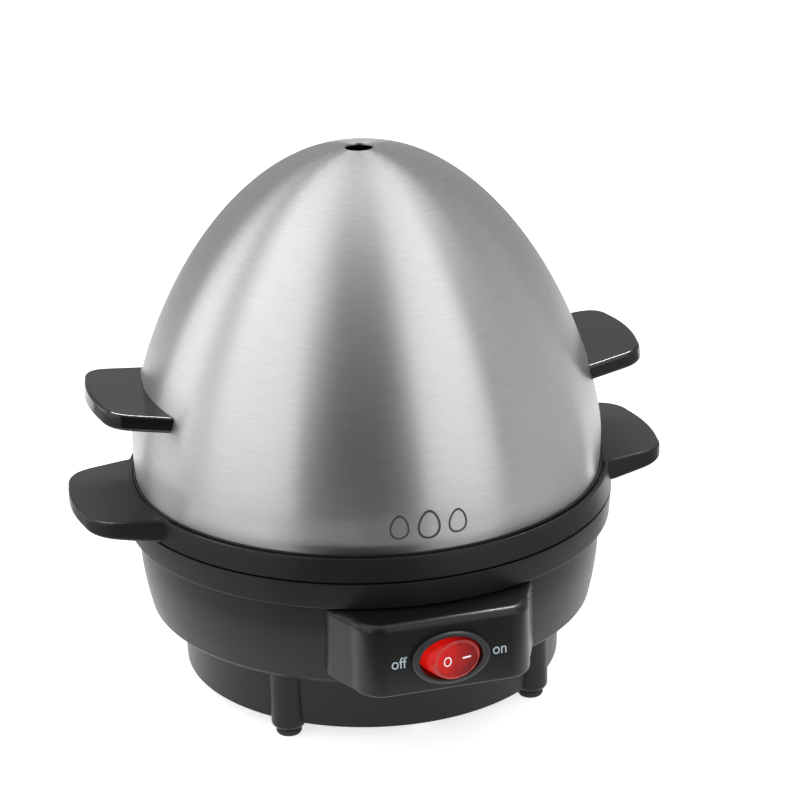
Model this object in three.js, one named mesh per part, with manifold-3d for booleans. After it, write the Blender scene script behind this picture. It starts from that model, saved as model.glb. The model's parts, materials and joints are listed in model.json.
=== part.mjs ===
// Egg cooker: a steel dome lid, an egg tray with side handles and a round plastic base with a heated
// water dish, a rocker switch in a box on its front, and the electrics inside.
// Millimetres, +Z up. The origin is on the table under the dome's axis, and the switch faces -Y.
import * as THREE from "three";
import { mergeVertices } from "three/addons/utils/BufferGeometryUtils.js";
import Module from "manifold-3d";

const wasm = await Module();
wasm.setup();

// ---- Driving dimensions ----

const GAP = 0.3; // clearance between parts that touch
const ROUND = 48; // sides of the large round parts
const SMALL_ROUND = 14; // sides of pins, posts and pads
const SCREW_ROUND = 10;

// Levels of the stacked shells, above the table
const PLINTH_BOTTOM_Z = 4.8;
const BOWL_BOTTOM_Z = 27.4;
const BAND_BOTTOM_Z = 55.4;
const SEAM_Z = 64.4;
const TRAY_FLOOR_Z = 67;
const LID_SEAT_Z = 69.2;
const TRAY_LIP_Z = 72.6;

// Outer radii of the base
const PLINTH_R = 63.9;
const BOWL_BOTTOM_R = 74.6;
const BOWL_TOP_R = 77.8;
const BAND_R = 81.6;
const WALL = 2.4;

// Lid: a barrel-sided rim under a dome that narrows to the steam hole
const LID_RIM_R = 77.5;
const LID_BULGE_R = 78.3;
const LID_RIM_H = 14.3;
const LID_DOME_H = 98.8;
const LID_FULLNESS = 1.313;
const LID_CROWN_DROP = 1.3; // the crown is pressed a little flatter than the dome's curve
const LID_CROWN_R = 13;
const LID_WALL = 1;
const STEAM_HOLE_R = 4.9;

// Egg tray
const EGG_HOLE_R = 17;
const EGG_PITCH_R = 47;
const OUTER_EGGS = 6;

// Handles, seen from above: the length from the axis, the half width at the tip and its growth inwards
const TRAY_HANDLE = { root: 68, tip: 98.4, half: 22.8, taper: 0.24, bulge: 2.4, corner: 7, edge: 1.2 };
const LID_HANDLE = { root: 66, tip: 90.6, half: 22, taper: 0.145, bulge: 2.4, corner: 7, edge: 1.2 };
const TRAY_HANDLE_TOP_Z = 72.2;
const TRAY_HANDLE_INNER_R = 79; // where the handles end inside the ring
const TRAY_HANDLE_SLOPE = 0.12; // rise of the underside towards the tip
const LID_HANDLE_TOP_Z = 107.2; // at LID_HANDLE_REF_X
const LID_HANDLE_REF_X = 80;
const LID_HANDLE_THICK = 5.6;
const LID_HANDLE_TILT = THREE.MathUtils.degToRad(8);

// Heated dish and its gasket
const DISH_FLANGE_R = 76.8;
const DISH_FLANGE_Z = 59.6;
const DISH_FLOOR_R = 57;
const DISH_FLOOR_Z = 50.6;
const DISH_WALL = 1;
const LEDGE_TOP_Z = 58;
const LEDGE_R = 63;
const STUD_R = 70.5;

// Foot posts and the cover screws' bosses, on circles round the axis
const POST_RING_R = 62.2;
const POST_R = 5.7;
const POST_ANGLE = THREE.MathUtils.degToRad(42);
const POST_BOTTOM_Z = 2.5;
const BOSS_RING_R = 57.2;
const BOSS_R = 5;
const COVER_TOP_Z = 7.2;

// Control box and rocker switch
const BOX_FRONT_Y = -91;
const BOX_BOTTOM_Z = 30.6;
const BOX_TOP_Z = 54.9;
const BOX_WALL = 2.2;
const SWITCH_Z = 41.8;
const ROCKER_TILT = THREE.MathUtils.degToRad(12);
const ROCKER_HALF_H = 6.5;
const ROCKER_FACE = 6.8; // from the pivot to the face
const ROCKER_PIVOT = -3.6; // behind the front of the panel

// Cord outlet at the back
const CORD_Z = 38;
const OUTLET_BACK_Y = 86;
const OUTLET_BORE_R = 6.3;
const GLAND_BACK_Y = 95.65;
const CORD_R = 3.5;

// ---- Materials ----

function finish(color, roughness, metalness = 0) {
  return new THREE.MeshStandardMaterial({ color, roughness, metalness });
}
const STEEL = finish(0xb9babb, 0.32, 1);
const GLOSS_BLACK = finish(0x141416, 0.18);
const SATIN_BLACK = finish(0x2b2b2d, 0.45);
const GREY_PLASTIC = finish(0x3d3d40, 0.5);
const RED_LENS = finish(0xd2140c, 0.2);
const RUBBER = finish(0x1b1b1c, 0.9);
const BRASS = finish(0xb59a55, 0.35, 1);
const ALUMINIUM = finish(0xa8a9ab, 0.45, 1);
const SCREW_STEEL = finish(0x8d8f92, 0.35, 1);
const WHITE_CERAMIC = finish(0xe6e2d8, 0.6);
const NYLON = finish(0xd9d6cc, 0.55);
const LAMP_GLASS = finish(0xff7a3c, 0.15);
const BROWN_WIRE = finish(0x6b3a1c, 0.6);
const BLUE_WIRE = finish(0x2458a6, 0.6);
const GREEN_WIRE = finish(0x4f8f3a, 0.6);

// ---- Solids ----

function solidOf(geometry) {
  const bare = geometry.index ? geometry.toNonIndexed() : geometry.clone();
  bare.deleteAttribute("normal");
  bare.deleteAttribute("uv");
  const merged = mergeVertices(bare, 1e-3);
  return new wasm.Manifold(
    new wasm.Mesh({
      numProp: 3,
      vertProperties: merged.attributes.position.array,
      triVerts: new Uint32Array(merged.index.array),
    }),
  );
}

function geometryOf(solid) {
  const mesh = solid.getMesh();
  const geometry = new THREE.BufferGeometry();
  geometry.setAttribute("position", new THREE.BufferAttribute(mesh.vertProperties, 3));
  geometry.setIndex(new THREE.BufferAttribute(mesh.triVerts, 1));
  geometry.computeVertexNormals();
  return geometry;
}

function points(pairs) {
  return pairs.map(([r, z]) => new THREE.Vector2(r, z));
}

// Points on an arc in the radius-height plane, both ends included.
function arc(centreR, centreZ, radius, fromDeg, toDeg, steps) {
  const list = [];
  for (let i = 0; i <= steps; i += 1) {
    const a = THREE.MathUtils.degToRad(fromDeg + ((toDeg - fromDeg) * i) / steps);
    list.push([centreR + radius * Math.cos(a), centreZ + radius * Math.sin(a)]);
  }
  return list;
}

// A solid of revolution about Z. The profile runs anticlockwise with radius to the right and height up.
function revolve(profile, sides = ROUND) {
  const onAxis = profile[0][0] === 0 && profile[profile.length - 1][0] === 0;
  const closed = onAxis ? profile : [...profile, profile[0]];
  return new THREE.LatheGeometry(points(closed), sides).rotateX(Math.PI / 2);
}

// A flat-bottomed plate from a shape in plan, with both rims rounded by `edge`.
function plate(shape, bottomZ, topZ, edge, curveSegments = 6) {
  return new THREE.ExtrudeGeometry(shape, {
    depth: topZ - bottomZ - 2 * edge,
    bevelEnabled: edge > 0,
    bevelThickness: edge,
    bevelSize: edge,
    bevelOffset: -edge,
    bevelSegments: 2,
    curveSegments,
  }).translate(0, 0, bottomZ + edge);
}

function cylinder(radius, bottomZ, topZ, sides = SMALL_ROUND) {
  const height = topZ - bottomZ;
  const geometry = new THREE.CylinderGeometry(radius, radius, height, sides).rotateX(Math.PI / 2);
  return geometry.translate(0, 0, bottomZ + height / 2);
}

function block(fromX, toX, fromY, toY, fromZ, toZ) {
  const geometry = new THREE.BoxGeometry(toX - fromX, toY - fromY, toZ - fromZ);
  return geometry.translate((fromX + toX) / 2, (fromY + toY) / 2, (fromZ + toZ) / 2);
}

function ellipse(halfX, halfY) {
  return new THREE.Shape().absellipse(0, 0, halfX, halfY, 0, 2 * Math.PI);
}

function ovalPlate(halfX, halfY, bottomZ, topZ, edge = 0) {
  return plate(ellipse(halfX, halfY), bottomZ, topZ, edge, 14);
}

// A round bar along a smooth curve through the given points.
function bar(route, radius, sides, steps) {
  const curve = new THREE.CatmullRomCurve3(route.map((p) => new THREE.Vector3(...p)));
  const section = new THREE.Shape().absarc(0, 0, radius, 0, 2 * Math.PI);
  return new THREE.ExtrudeGeometry(section, {
    extrudePath: curve,
    steps,
    curveSegments: sides / 2,
    bevelEnabled: false,
  });
}

// A screw that points down: its head stands on z = 0 and its shank goes below.
function screw(headR, headH, shankR, length) {
  const profile = [
    [0, -length],
    [shankR, -length + shankR],
    [shankR, 0],
    [headR, 0],
    [headR, headH * 0.6],
    [headR * 0.7, headH],
    [0, headH],
  ];
  return revolve(profile, SCREW_ROUND);
}

function part(name, geometry, material) {
  const mesh = new THREE.Mesh(geometry, material);
  mesh.name = name;
  return mesh;
}

function placed(mesh, x, y, z) {
  mesh.position.set(x, y, z);
  return mesh;
}

// A point on a circle round the axis; the angle is measured from +X towards +Y.
function onCircle(radius, angle) {
  return [radius * Math.cos(angle), radius * Math.sin(angle)];
}

// ---- Lid ----

// The dome's profile from its rim to the steam hole, moved in by `inset`.
function domeProfile(inset) {
  const rim = LID_SEAT_Z + GAP;
  const spring = rim + LID_RIM_H;
  const list = [[LID_RIM_R - inset, rim]];
  list.push([(LID_RIM_R + LID_BULGE_R) / 2 + 0.2 - inset, rim + LID_RIM_H / 2]);
  const steps = 13;
  const end = Math.acos(STEAM_HOLE_R / (LID_BULGE_R - inset));
  for (let i = 0; i <= steps; i += 1) {
    const t = i / steps;
    const turn = end * t;
    const radius = (LID_BULGE_R - inset) * Math.cos(turn);
    const drop = LID_CROWN_DROP * Math.exp(-((radius / LID_CROWN_R) ** 2));
    const height = (LID_DOME_H - inset) * Math.sin(turn) ** LID_FULLNESS - drop;
    list.push([radius, spring + height]);
  }
  return list;
}

// The handle's plan: straight sides that spread inwards, rounded corners and a bowed tip.
function handleOutline({ root, tip, half, taper, bulge, corner }) {
  const rootHalf = half + (tip - root) * taper;
  const sideX = tip - corner;
  const sideY = half + corner * taper;
  const tipX = tip + bulge * 0.35;
  const tipY = half - corner;
  const shape = new THREE.Shape();
  shape.moveTo(root, -rootHalf);
  shape.lineTo(sideX, -sideY);
  shape.quadraticCurveTo(tip, -half, tipX, -tipY);
  shape.quadraticCurveTo(tip + 2 * bulge - bulge * 0.35, 0, tipX, tipY);
  shape.quadraticCurveTo(tip, half, sideX, sideY);
  shape.lineTo(root, rootHalf);
  shape.closePath();
  return shape;
}

// The screws that hold a lid handle go out through the dome, along the handle's slope.
const LID_SCREW_X = 70;
const LID_SCREW_Y = 13;
const LID_SCREW_Z = 102.4;
const LID_SCREW_TILT = LID_HANDLE_TILT;

function lidScrewHoles(radius) {
  const holes = [];
  for (const side of [-1, 1]) {
    for (const y of [-LID_SCREW_Y, LID_SCREW_Y]) {
      holes.push(solidOf(cylinder(radius, -10.8, 4).applyMatrix4(screwMatrix(side, y))));
    }
  }
  return holes;
}

// From a screw that points down to one that points outwards and a little up, at the lid's side.
function screwMatrix(side, y) {
  const turn = new THREE.Matrix4().makeRotationY(-side * (Math.PI / 2 + LID_SCREW_TILT));
  const move = new THREE.Matrix4().makeTranslation(side * LID_SCREW_X, y, LID_SCREW_Z);
  return move.multiply(turn);
}

function lidDome() {
  const outer = domeProfile(0);
  const inner = domeProfile(LID_WALL).reverse();
  let solid = solidOf(revolve([...outer, ...inner]));
  for (const hole of lidScrewHoles(2)) solid = solid.subtract(hole);
  return part("lid_dome", geometryOf(solid), STEEL);
}

function domeEnvelope(clearance) {
  return solidOf(revolve([[0, LID_SEAT_Z], ...domeProfile(-clearance), [0, LID_SEAT_Z + 120]]));
}

function lidHandle(side, name) {
  const slab = plate(handleOutline(LID_HANDLE), -LID_HANDLE_THICK, 0, LID_HANDLE.edge);
  slab.translate(-LID_HANDLE_REF_X, 0, 0).rotateY(-LID_HANDLE_TILT);
  slab.translate(LID_HANDLE_REF_X, 0, LID_HANDLE_TOP_Z);
  if (side < 0) slab.rotateZ(Math.PI);
  let solid = solidOf(slab).subtract(domeEnvelope(GAP));
  for (const hole of lidScrewHoles(1.8)) solid = solid.subtract(hole);
  return part(name, geometryOf(solid), GLOSS_BLACK);
}

function lidScrews() {
  const group = new THREE.Group();
  let number = 1;
  for (const side of [-1, 1]) {
    for (const y of [-LID_SCREW_Y, LID_SCREW_Y]) {
      const mesh = part(`lid_handle_screw_${number}`, screw(3, 2, 1.5, 10), SCREW_STEEL);
      mesh.applyMatrix4(screwMatrix(side, y));
      group.add(mesh);
      number += 1;
    }
  }
  return group;
}

// ---- Egg tray ----

// A tray handle is as deep as the ring at its root and thins towards its tip.
function trayHandle(side) {
  const bottomZ = SEAM_Z + GAP;
  const slab = plate(handleOutline(TRAY_HANDLE), bottomZ, TRAY_HANDLE_TOP_Z, TRAY_HANDLE.edge);
  const place = slab.getAttribute("position");
  for (let i = 0; i < place.count; i += 1) {
    const beyond = Math.max(0, place.getX(i) - TRAY_HANDLE_INNER_R);
    const low = place.getZ(i) < (bottomZ + TRAY_HANDLE_TOP_Z) / 2;
    if (low) place.setZ(i, place.getZ(i) + beyond * TRAY_HANDLE_SLOPE);
  }
  const inside = solidOf(cylinder(TRAY_HANDLE_INNER_R, 50, 80, ROUND));
  const solid = solidOf(slab).subtract(inside);
  return side < 0 ? solid.rotate([0, 0, 180]) : solid;
}

function eggTray() {
  const skirtBottom = 61.6;
  const profile = [
    [0, TRAY_FLOOR_Z - WALL],
    [75, TRAY_FLOOR_Z - WALL],
    [75.2, skirtBottom],
    [77, skirtBottom],
    [77.2, SEAM_Z + GAP],
    [BAND_R + 0.3, SEAM_Z + GAP],
    [BAND_R - 0.6, TRAY_LIP_Z - 2],
    [BAND_R - 1.1, TRAY_LIP_Z - 0.7],
    [BAND_R - 1.9, TRAY_LIP_Z - 0.3],
    [BAND_R - 2.8, TRAY_LIP_Z - 1],
    [78.5, TRAY_LIP_Z],
    [77.9, TRAY_LIP_Z],
    [77.9, LID_SEAT_Z],
    [75.9, LID_SEAT_Z],
    [75.6, LID_SEAT_Z + 1.4],
    [74.6, LID_SEAT_Z + 1.4],
    [73.8, TRAY_FLOOR_Z],
    [0, TRAY_FLOOR_Z],
  ];
  let solid = solidOf(revolve(profile));
  for (const side of [-1, 1]) solid = solid.add(trayHandle(side));
  for (const [x, y] of eggPlaces()) {
    solid = solid.subtract(solidOf(cylinder(EGG_HOLE_R, 60, 75, 24).translate(x, y, 0)));
  }
  return part("egg_tray", geometryOf(solid), SATIN_BLACK);
}

function eggPlaces() {
  const places = [[0, 0]];
  for (let i = 0; i < OUTER_EGGS; i += 1) {
    places.push(onCircle(EGG_PITCH_R, ((i + 0.5) * 2 * Math.PI) / OUTER_EGGS));
  }
  return places;
}

// ---- Base housing ----

// The outside of plinth, bowl and band from the bottom up, moved out by `clearance`.
function baseOutside(clearance) {
  const c = clearance;
  return [
    [PLINTH_R - 0.3 + c, PLINTH_BOTTOM_Z],
    [PLINTH_R + 0.4 + c, 25],
    [BOWL_BOTTOM_R - 3 + c, 25.2],
    [BOWL_BOTTOM_R - 0.9 + c, 26.1],
    [BOWL_BOTTOM_R + c, BOWL_BOTTOM_Z + 0.4],
    [BOWL_BOTTOM_R + 1.5 + c, 34],
    [BOWL_BOTTOM_R + 2.8 + c, 43],
    [BOWL_TOP_R + c, BAND_BOTTOM_Z - c],
    [BAND_R - 0.9 + c, BAND_BOTTOM_Z - c],
    [BAND_R + c, BAND_BOTTOM_Z + 1 - c],
    [BAND_R + 0.25 + c, SEAM_Z - GAP],
  ];
}

function footAngles() {
  const quarter = Math.PI / 2;
  return [
    -quarter - POST_ANGLE,
    -quarter + POST_ANGLE,
    quarter - POST_ANGLE,
    quarter + POST_ANGLE,
  ];
}

function housingHollow() {
  return [
    [77.6, SEAM_Z - GAP],
    [77.6, LEDGE_TOP_Z],
    [LEDGE_R, LEDGE_TOP_Z],
    [LEDGE_R, LEDGE_TOP_Z - WALL],
    [BOWL_TOP_R - WALL, LEDGE_TOP_Z - WALL],
    [BOWL_BOTTOM_R + 2.8 - WALL, 43],
    [BOWL_BOTTOM_R - WALL, BOWL_BOTTOM_Z + 1],
    [BOWL_BOTTOM_R - WALL - 1, 27.6],
    [PLINTH_R - WALL, 27.6],
    [PLINTH_R - WALL, PLINTH_BOTTOM_Z],
  ];
}

function baseHousing() {
  let solid = solidOf(revolve([...baseOutside(0), ...housingHollow()]));
  for (const angle of footAngles()) {
    const [x, y] = onCircle(POST_RING_R, angle);
    const post = revolve([[0, POST_BOTTOM_Z], ...arc(POST_R - 2, POST_BOTTOM_Z + 2, 2, -90, 0, 3),
      [POST_R, 26.5], [0, 26.5]], SMALL_ROUND);
    solid = solid.add(solidOf(post.translate(x, y, 0)));
    solid = solid.subtract(solidOf(cylinder(2.3, 0, 10).translate(x, y, 0)));
  }
  for (let i = 0; i < 4; i += 1) {
    const [x, y] = onCircle(BOSS_RING_R, (i * Math.PI) / 2);
    solid = solid.add(solidOf(cylinder(BOSS_R, COVER_TOP_Z + GAP, 24).translate(x, y, 0)));
    solid = solid.subtract(solidOf(cylinder(1.8, 0, 20).translate(x, y, 0)));
  }
  for (const [x, y] of studPlaces()) {
    solid = solid.subtract(solidOf(cylinder(2.3, 50, 62).translate(x, y, 0)));
  }
  solid = solid.add(cordOutlet());
  solid = solid.add(solidOf(block(-15, 15, 60, 71.5, 27, 30)));
  solid = solid.add(solidOf(block(-15, 15, 60, 66.2, 29, 33.5)));
  solid = solid.subtract(clampScrewHoles());
  solid = solid.subtract(solidOf(block(-20, 20, -80, -60, 32.5, 52.3)));
  for (const x of BOX_SCREW_X) solid = solid.subtract(alongY(x, -80, -60, SWITCH_Z, 1.8));
  solid = solid.subtract(alongY(0, 60, OUTLET_BACK_Y + 4, CORD_Z, OUTLET_BORE_R));
  return part("base_housing", geometryOf(solid), SATIN_BLACK);
}

// The round boss on the back of the bowl that the cord comes out of.
function cordOutlet() {
  const profile = [
    [0, 71.8],
    [13, 71.8],
    [11.6, OUTLET_BACK_Y - 1],
    [10.6, OUTLET_BACK_Y],
    [0, OUTLET_BACK_Y],
  ];
  return solidOf(revolve(profile, 28).rotateX(-Math.PI / 2).translate(0, 0, CORD_Z));
}

// A round hole along Y between two depths.
function alongY(x, fromY, toY, z, radius) {
  const pin = cylinder(radius, fromY, toY).rotateX(-Math.PI / 2);
  return solidOf(pin.translate(x, 0, z));
}

// ---- Heated dish ----

function studPlaces() {
  const places = [];
  for (let i = 0; i < 3; i += 1) places.push(onCircle(STUD_R, (2 * Math.PI * i) / 3));
  return places;
}

function heatingPlate() {
  const top = DISH_FLANGE_Z + DISH_WALL;
  const profile = [
    [0, DISH_FLOOR_Z - DISH_WALL],
    [DISH_FLOOR_R - 2, DISH_FLOOR_Z - DISH_WALL],
    [DISH_FLOOR_R + 1, DISH_FLOOR_Z - 0.2],
    [LEDGE_R - 1, DISH_FLANGE_Z - 1],
    [LEDGE_R, DISH_FLANGE_Z],
    [DISH_FLANGE_R, DISH_FLANGE_Z],
    [DISH_FLANGE_R, top],
    [LEDGE_R - 0.6, top],
    [LEDGE_R - 2, DISH_FLANGE_Z - 0.4],
    [DISH_FLOOR_R, DISH_FLOOR_Z + 0.6],
    [DISH_FLOOR_R - 2.4, DISH_FLOOR_Z],
    [0, DISH_FLOOR_Z],
  ];
  return part("heating_plate", revolve(profile), STEEL);
}

function plateGasket() {
  const profile = [
    [LEDGE_R + 1.5, LEDGE_TOP_Z + GAP],
    [DISH_FLANGE_R - 1.5, LEDGE_TOP_Z + GAP],
    [DISH_FLANGE_R - 1.5, DISH_FLANGE_Z - GAP],
    [LEDGE_R + 1.5, DISH_FLANGE_Z - GAP],
  ];
  let solid = solidOf(revolve(profile));
  for (const [x, y] of studPlaces()) {
    solid = solid.subtract(solidOf(cylinder(2.3, 50, 62).translate(x, y, 0)));
  }
  return part("plate_gasket", geometryOf(solid), RUBBER);
}

function plateFixings() {
  const group = new THREE.Group();
  const nutTop = LEDGE_TOP_Z - WALL - GAP;
  studPlaces().forEach(([x, y], i) => {
    const stud = part(`plate_stud_${i + 1}`, cylinder(2, 49.4, DISH_FLANGE_Z - GAP, 12), SCREW_STEEL);
    const nutShape = new THREE.Shape();
    for (let k = 0; k < 6; k += 1) {
      const [nx, ny] = onCircle(3.4, (k * Math.PI) / 3);
      if (k === 0) nutShape.moveTo(nx, ny);
      else nutShape.lineTo(nx, ny);
    }
    nutShape.closePath();
    nutShape.holes.push(new THREE.Path().absarc(0, 0, 2 + GAP, 0, 2 * Math.PI, true));
    const nut = part(`plate_nut_${i + 1}`, plate(nutShape, nutTop - 2.6, nutTop, 0), SCREW_STEEL);
    group.add(placed(stud, x, y, 0), placed(nut, x, y, 0));
  });
  return group;
}

// ---- Heater, thermostat and fuse ----

const ELEMENT_R = 42;
const ELEMENT_TUBE_R = 3.2;
const ELEMENT_Z = DISH_FLOOR_Z - DISH_WALL - GAP * 3 - ELEMENT_TUBE_R;
const ELEMENT_GAP = THREE.MathUtils.degToRad(24);

function elementEnd(side) {
  return onCircle(ELEMENT_R, side * ELEMENT_GAP);
}

function heatingElement() {
  const route = [];
  const turns = 16;
  const [startX, startY] = elementEnd(1);
  route.push([startX, startY, ELEMENT_Z - 8]);
  for (let i = 0; i <= turns; i += 1) {
    const inset = 0.12;
    const angle = ELEMENT_GAP + inset + ((2 * Math.PI - 2 * ELEMENT_GAP - 2 * inset) * i) / turns;
    const [x, y] = onCircle(ELEMENT_R, angle);
    route.push([x, y, ELEMENT_Z]);
  }
  const [endX, endY] = elementEnd(-1);
  route.push([endX, endY, ELEMENT_Z - 8]);
  return part("heating_element", bar(route, ELEMENT_TUBE_R, 8, 40), ALUMINIUM);
}

function elementTerminals() {
  const group = new THREE.Group();
  [1, -1].forEach((side, i) => {
    const [x, y] = elementEnd(side);
    const pin = cylinder(1.6, ELEMENT_Z - 17, ELEMENT_Z - 9.4, 12);
    group.add(placed(part(`element_terminal_${i + 1}`, pin, BRASS), x, y, 0));
  });
  return group;
}

function thermostat() {
  const top = DISH_FLOOR_Z - DISH_WALL - GAP;
  const profile = [
    [0, top - 9],
    [6.5, top - 9],
    [6.5, top - 4],
    [8.5, top - 4],
    [8.5, top - 0.8],
    [7.6, top],
    [0, top],
  ];
  return part("thermostat", revolve(profile, 20), WHITE_CERAMIC);
}

// A sprung strip that holds the thermostat against the dish.
function thermostatBracket() {
  const top = DISH_FLOOR_Z - DISH_WALL - GAP;
  const low = top - 9 - GAP;
  const shape = new THREE.Shape();
  const outline = [
    [-27, top], [-27, top - 1.2], [-20, top - 1.2], [-13, low - 1.2], [13, low - 1.2],
    [20, top - 1.2], [27, top - 1.2], [27, top], [19, top], [12, low], [-12, low], [-19, top],
  ];
  outline.forEach(([x, z], i) => (i ? shape.lineTo(x, z) : shape.moveTo(x, z)));
  shape.closePath();
  const strip = plate(shape, -5, 5, 0).rotateX(Math.PI / 2);
  return part("thermostat_bracket", strip, SCREW_STEEL);
}

function thermalFuse() {
  const fuse = revolve([[0, -8], [1.2, -8], [2.2, -6], [2.2, 6], [1.2, 8], [0, 8]], 14);
  fuse.rotateY(Math.PI / 2);
  return placed(part("thermal_fuse", fuse, WHITE_CERAMIC), 0, 16, DISH_FLOOR_Z - DISH_WALL - 2.6);
}

// ---- Bottom cover and feet ----

function bottomCover() {
  const bottom = PLINTH_BOTTOM_Z + 0.4;
  let solid = solidOf(cylinder(PLINTH_R - WALL - GAP * 2, bottom, COVER_TOP_Z, ROUND));
  for (let i = 0; i < 4; i += 1) {
    const [x, y] = onCircle(BOSS_RING_R, (i * Math.PI) / 2);
    solid = solid.subtract(solidOf(cylinder(1.8, 0, 10).translate(x, y, 0)));
  }
  for (let i = -3; i <= 3; i += 1) {
    const half = 17 - Math.abs(i) * 2;
    solid = solid.subtract(solidOf(block(i * 9 - 1.5, i * 9 + 1.5, -half, half, 0, 10)));
  }
  for (const angle of footAngles()) {
    const [x, y] = onCircle(POST_RING_R, angle);
    solid = solid.subtract(solidOf(cylinder(POST_R + GAP, 0, 30).translate(x, y, 0)));
  }
  return part("bottom_cover", geometryOf(solid), SATIN_BLACK);
}

function bottomScrews() {
  const group = new THREE.Group();
  for (let i = 0; i < 4; i += 1) {
    const [x, y] = onCircle(BOSS_RING_R, (i * Math.PI) / 2);
    const shape = screw(3.2, 1.9, 1.5, 11).rotateX(Math.PI);
    const mesh = part(`bottom_screw_${i + 1}`, shape, SCREW_STEEL);
    group.add(placed(mesh, x, y, PLINTH_BOTTOM_Z + 0.1));
  }
  return group;
}

function footPads() {
  const group = new THREE.Group();
  const profile = [
    [0, 0], [3.4, 0], [4.2, 0.8], [4.2, POST_BOTTOM_Z - GAP], [2, POST_BOTTOM_Z - GAP],
    [2, 8.5], [0, 8.5],
  ];
  const names = ["front_left", "front_right", "back_right", "back_left"];
  footAngles().forEach((angle, i) => {
    const [x, y] = onCircle(POST_RING_R, angle);
    const mesh = part(`foot_pad_${names[i]}`, revolve(profile, SMALL_ROUND), RUBBER);
    group.add(placed(mesh, x, y, 0));
  });
  return group;
}

// ---- Control box ----

const BOX_SCREW_X = [-27, 27];

// The box in plan: flat front, rounded corners and flanks that spread back to the bowl.
function boxOutline(inset) {
  const frontY = BOX_FRONT_Y + inset;
  const frontHalf = 20;
  const cornerHalf = 29 - inset;
  const cornerY = BOX_FRONT_Y + 9;
  const rootHalf = 34 - inset;
  const shape = new THREE.Shape();
  shape.moveTo(rootHalf + 1, -60);
  shape.lineTo(-rootHalf - 1, -60);
  shape.lineTo(-rootHalf, -71);
  shape.quadraticCurveTo(-cornerHalf - 2, -78, -cornerHalf, cornerY);
  shape.bezierCurveTo(-cornerHalf + 1, frontY + 3, -frontHalf - 4, frontY, -frontHalf, frontY);
  shape.lineTo(frontHalf, frontY);
  shape.bezierCurveTo(frontHalf + 4, frontY, cornerHalf - 1, frontY + 3, cornerHalf, cornerY);
  shape.quadraticCurveTo(cornerHalf + 2, -78, rootHalf, -71);
  shape.closePath();
  return shape;
}

function controlBox() {
  const outside = solidOf(revolve([[0, 0], ...baseOutside(GAP), [0, SEAM_Z - GAP]]));
  let solid = solidOf(plate(boxOutline(0), BOX_BOTTOM_Z, BOX_TOP_Z, 1.8));
  const hollow = plate(boxOutline(BOX_WALL), BOX_BOTTOM_Z + BOX_WALL, BOX_TOP_Z - BOX_WALL, 0);
  solid = solid.subtract(solidOf(hollow));
  for (const x of BOX_SCREW_X) {
    solid = solid.add(alongY(x, BOX_FRONT_Y + 5.5, -66, SWITCH_Z, 3.4).intersect(solidOf(
      plate(boxOutline(0.5), BOX_BOTTOM_Z + 1, BOX_TOP_Z - 1, 0))));
    solid = solid.subtract(alongY(x, BOX_FRONT_Y + 8, -60, SWITCH_Z, 1.8));
  }
  solid = solid.subtract(outside);
  const hole = ovalPlate(11.2, 8.1, -4, 4).applyMatrix4(panelMatrix());
  return part("control_box", geometryOf(solid.subtract(solidOf(hole))), SATIN_BLACK);
}

function boxScrews() {
  const group = new THREE.Group();
  BOX_SCREW_X.forEach((x, i) => {
    const mesh = part(`box_screw_${i + 1}`, screw(3, 2, 1.5, 12.5), SCREW_STEEL);
    mesh.rotation.x = -Math.PI / 2;
    group.add(placed(mesh, x, -68.1, SWITCH_Z));
  });
  return group;
}

// From the panel's own frame (x right, y up, z out of the front) to the cooker's.
function panelMatrix() {
  const turn = new THREE.Matrix4().makeRotationX(Math.PI / 2);
  return new THREE.Matrix4().makeTranslation(0, BOX_FRONT_Y, SWITCH_Z).multiply(turn);
}

// ---- Switch ----

function ovalRing(outerX, outerY, bottomZ, topZ, edge) {
  const opening = ovalPlate(10.2, 7.1, bottomZ - 1, topZ + 1);
  return solidOf(ovalPlate(outerX, outerY, bottomZ, topZ, edge)).subtract(solidOf(opening));
}

function switchBezel() {
  const flange = ovalRing(12.7, 8.8, GAP, 1.8, 0.7);
  const collar = ovalRing(10.9, 7.8, -2.3, 0.8, 0);
  return part("switch_bezel", geometryOf(flange.add(collar)), GREY_PLASTIC);
}

// The rocker's half width at each height above its pivot: it clears the bezel all through its swing.
const ROCKER_SIDE = [
  [9.35, -3.2],
  [9.9, 0],
  [9.75, 2],
  [9.4, 3.8],
  [8.9, 5.2],
  [8, ROCKER_FACE - 0.3],
  [7.7, ROCKER_FACE],
];

// A stack of ovals, all as high as each other: a turned shape with each ring pressed into an oval.
function rockerShape() {
  const bottom = ROCKER_SIDE[0][1];
  const shape = new THREE.LatheGeometry(points([[0, bottom], ...ROCKER_SIDE, [0, ROCKER_FACE]]), 28);
  shape.rotateX(Math.PI / 2);
  const place = shape.getAttribute("position");
  for (let i = 0; i < place.count; i += 1) {
    const radius = Math.hypot(place.getX(i), place.getY(i));
    if (radius > 0.01) place.setY(i, (place.getY(i) / radius) * ROCKER_HALF_H);
  }
  return shape;
}

// The rocker is drawn about its pivot, in the panel's frame, tilted to "on" at rest.
function switchRocker() {
  const hollow = block(-6.4, 6.4, -4.2, 4.2, -4, ROCKER_FACE - 2.4);
  const pin = new THREE.CylinderGeometry(0.8, 0.8, 15.2, 12);
  const solid = solidOf(rockerShape().rotateY(ROCKER_TILT))
    .add(solidOf(pin))
    .subtract(solidOf(hollow.rotateY(ROCKER_TILT)));
  return placed(part("switch_rocker", geometryOf(solid), RED_LENS), 0, 0, ROCKER_PIVOT);
}

const SWITCH_BODY_BACK = -18;
const TERMINAL_X = [-7, 0, 7];

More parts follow.
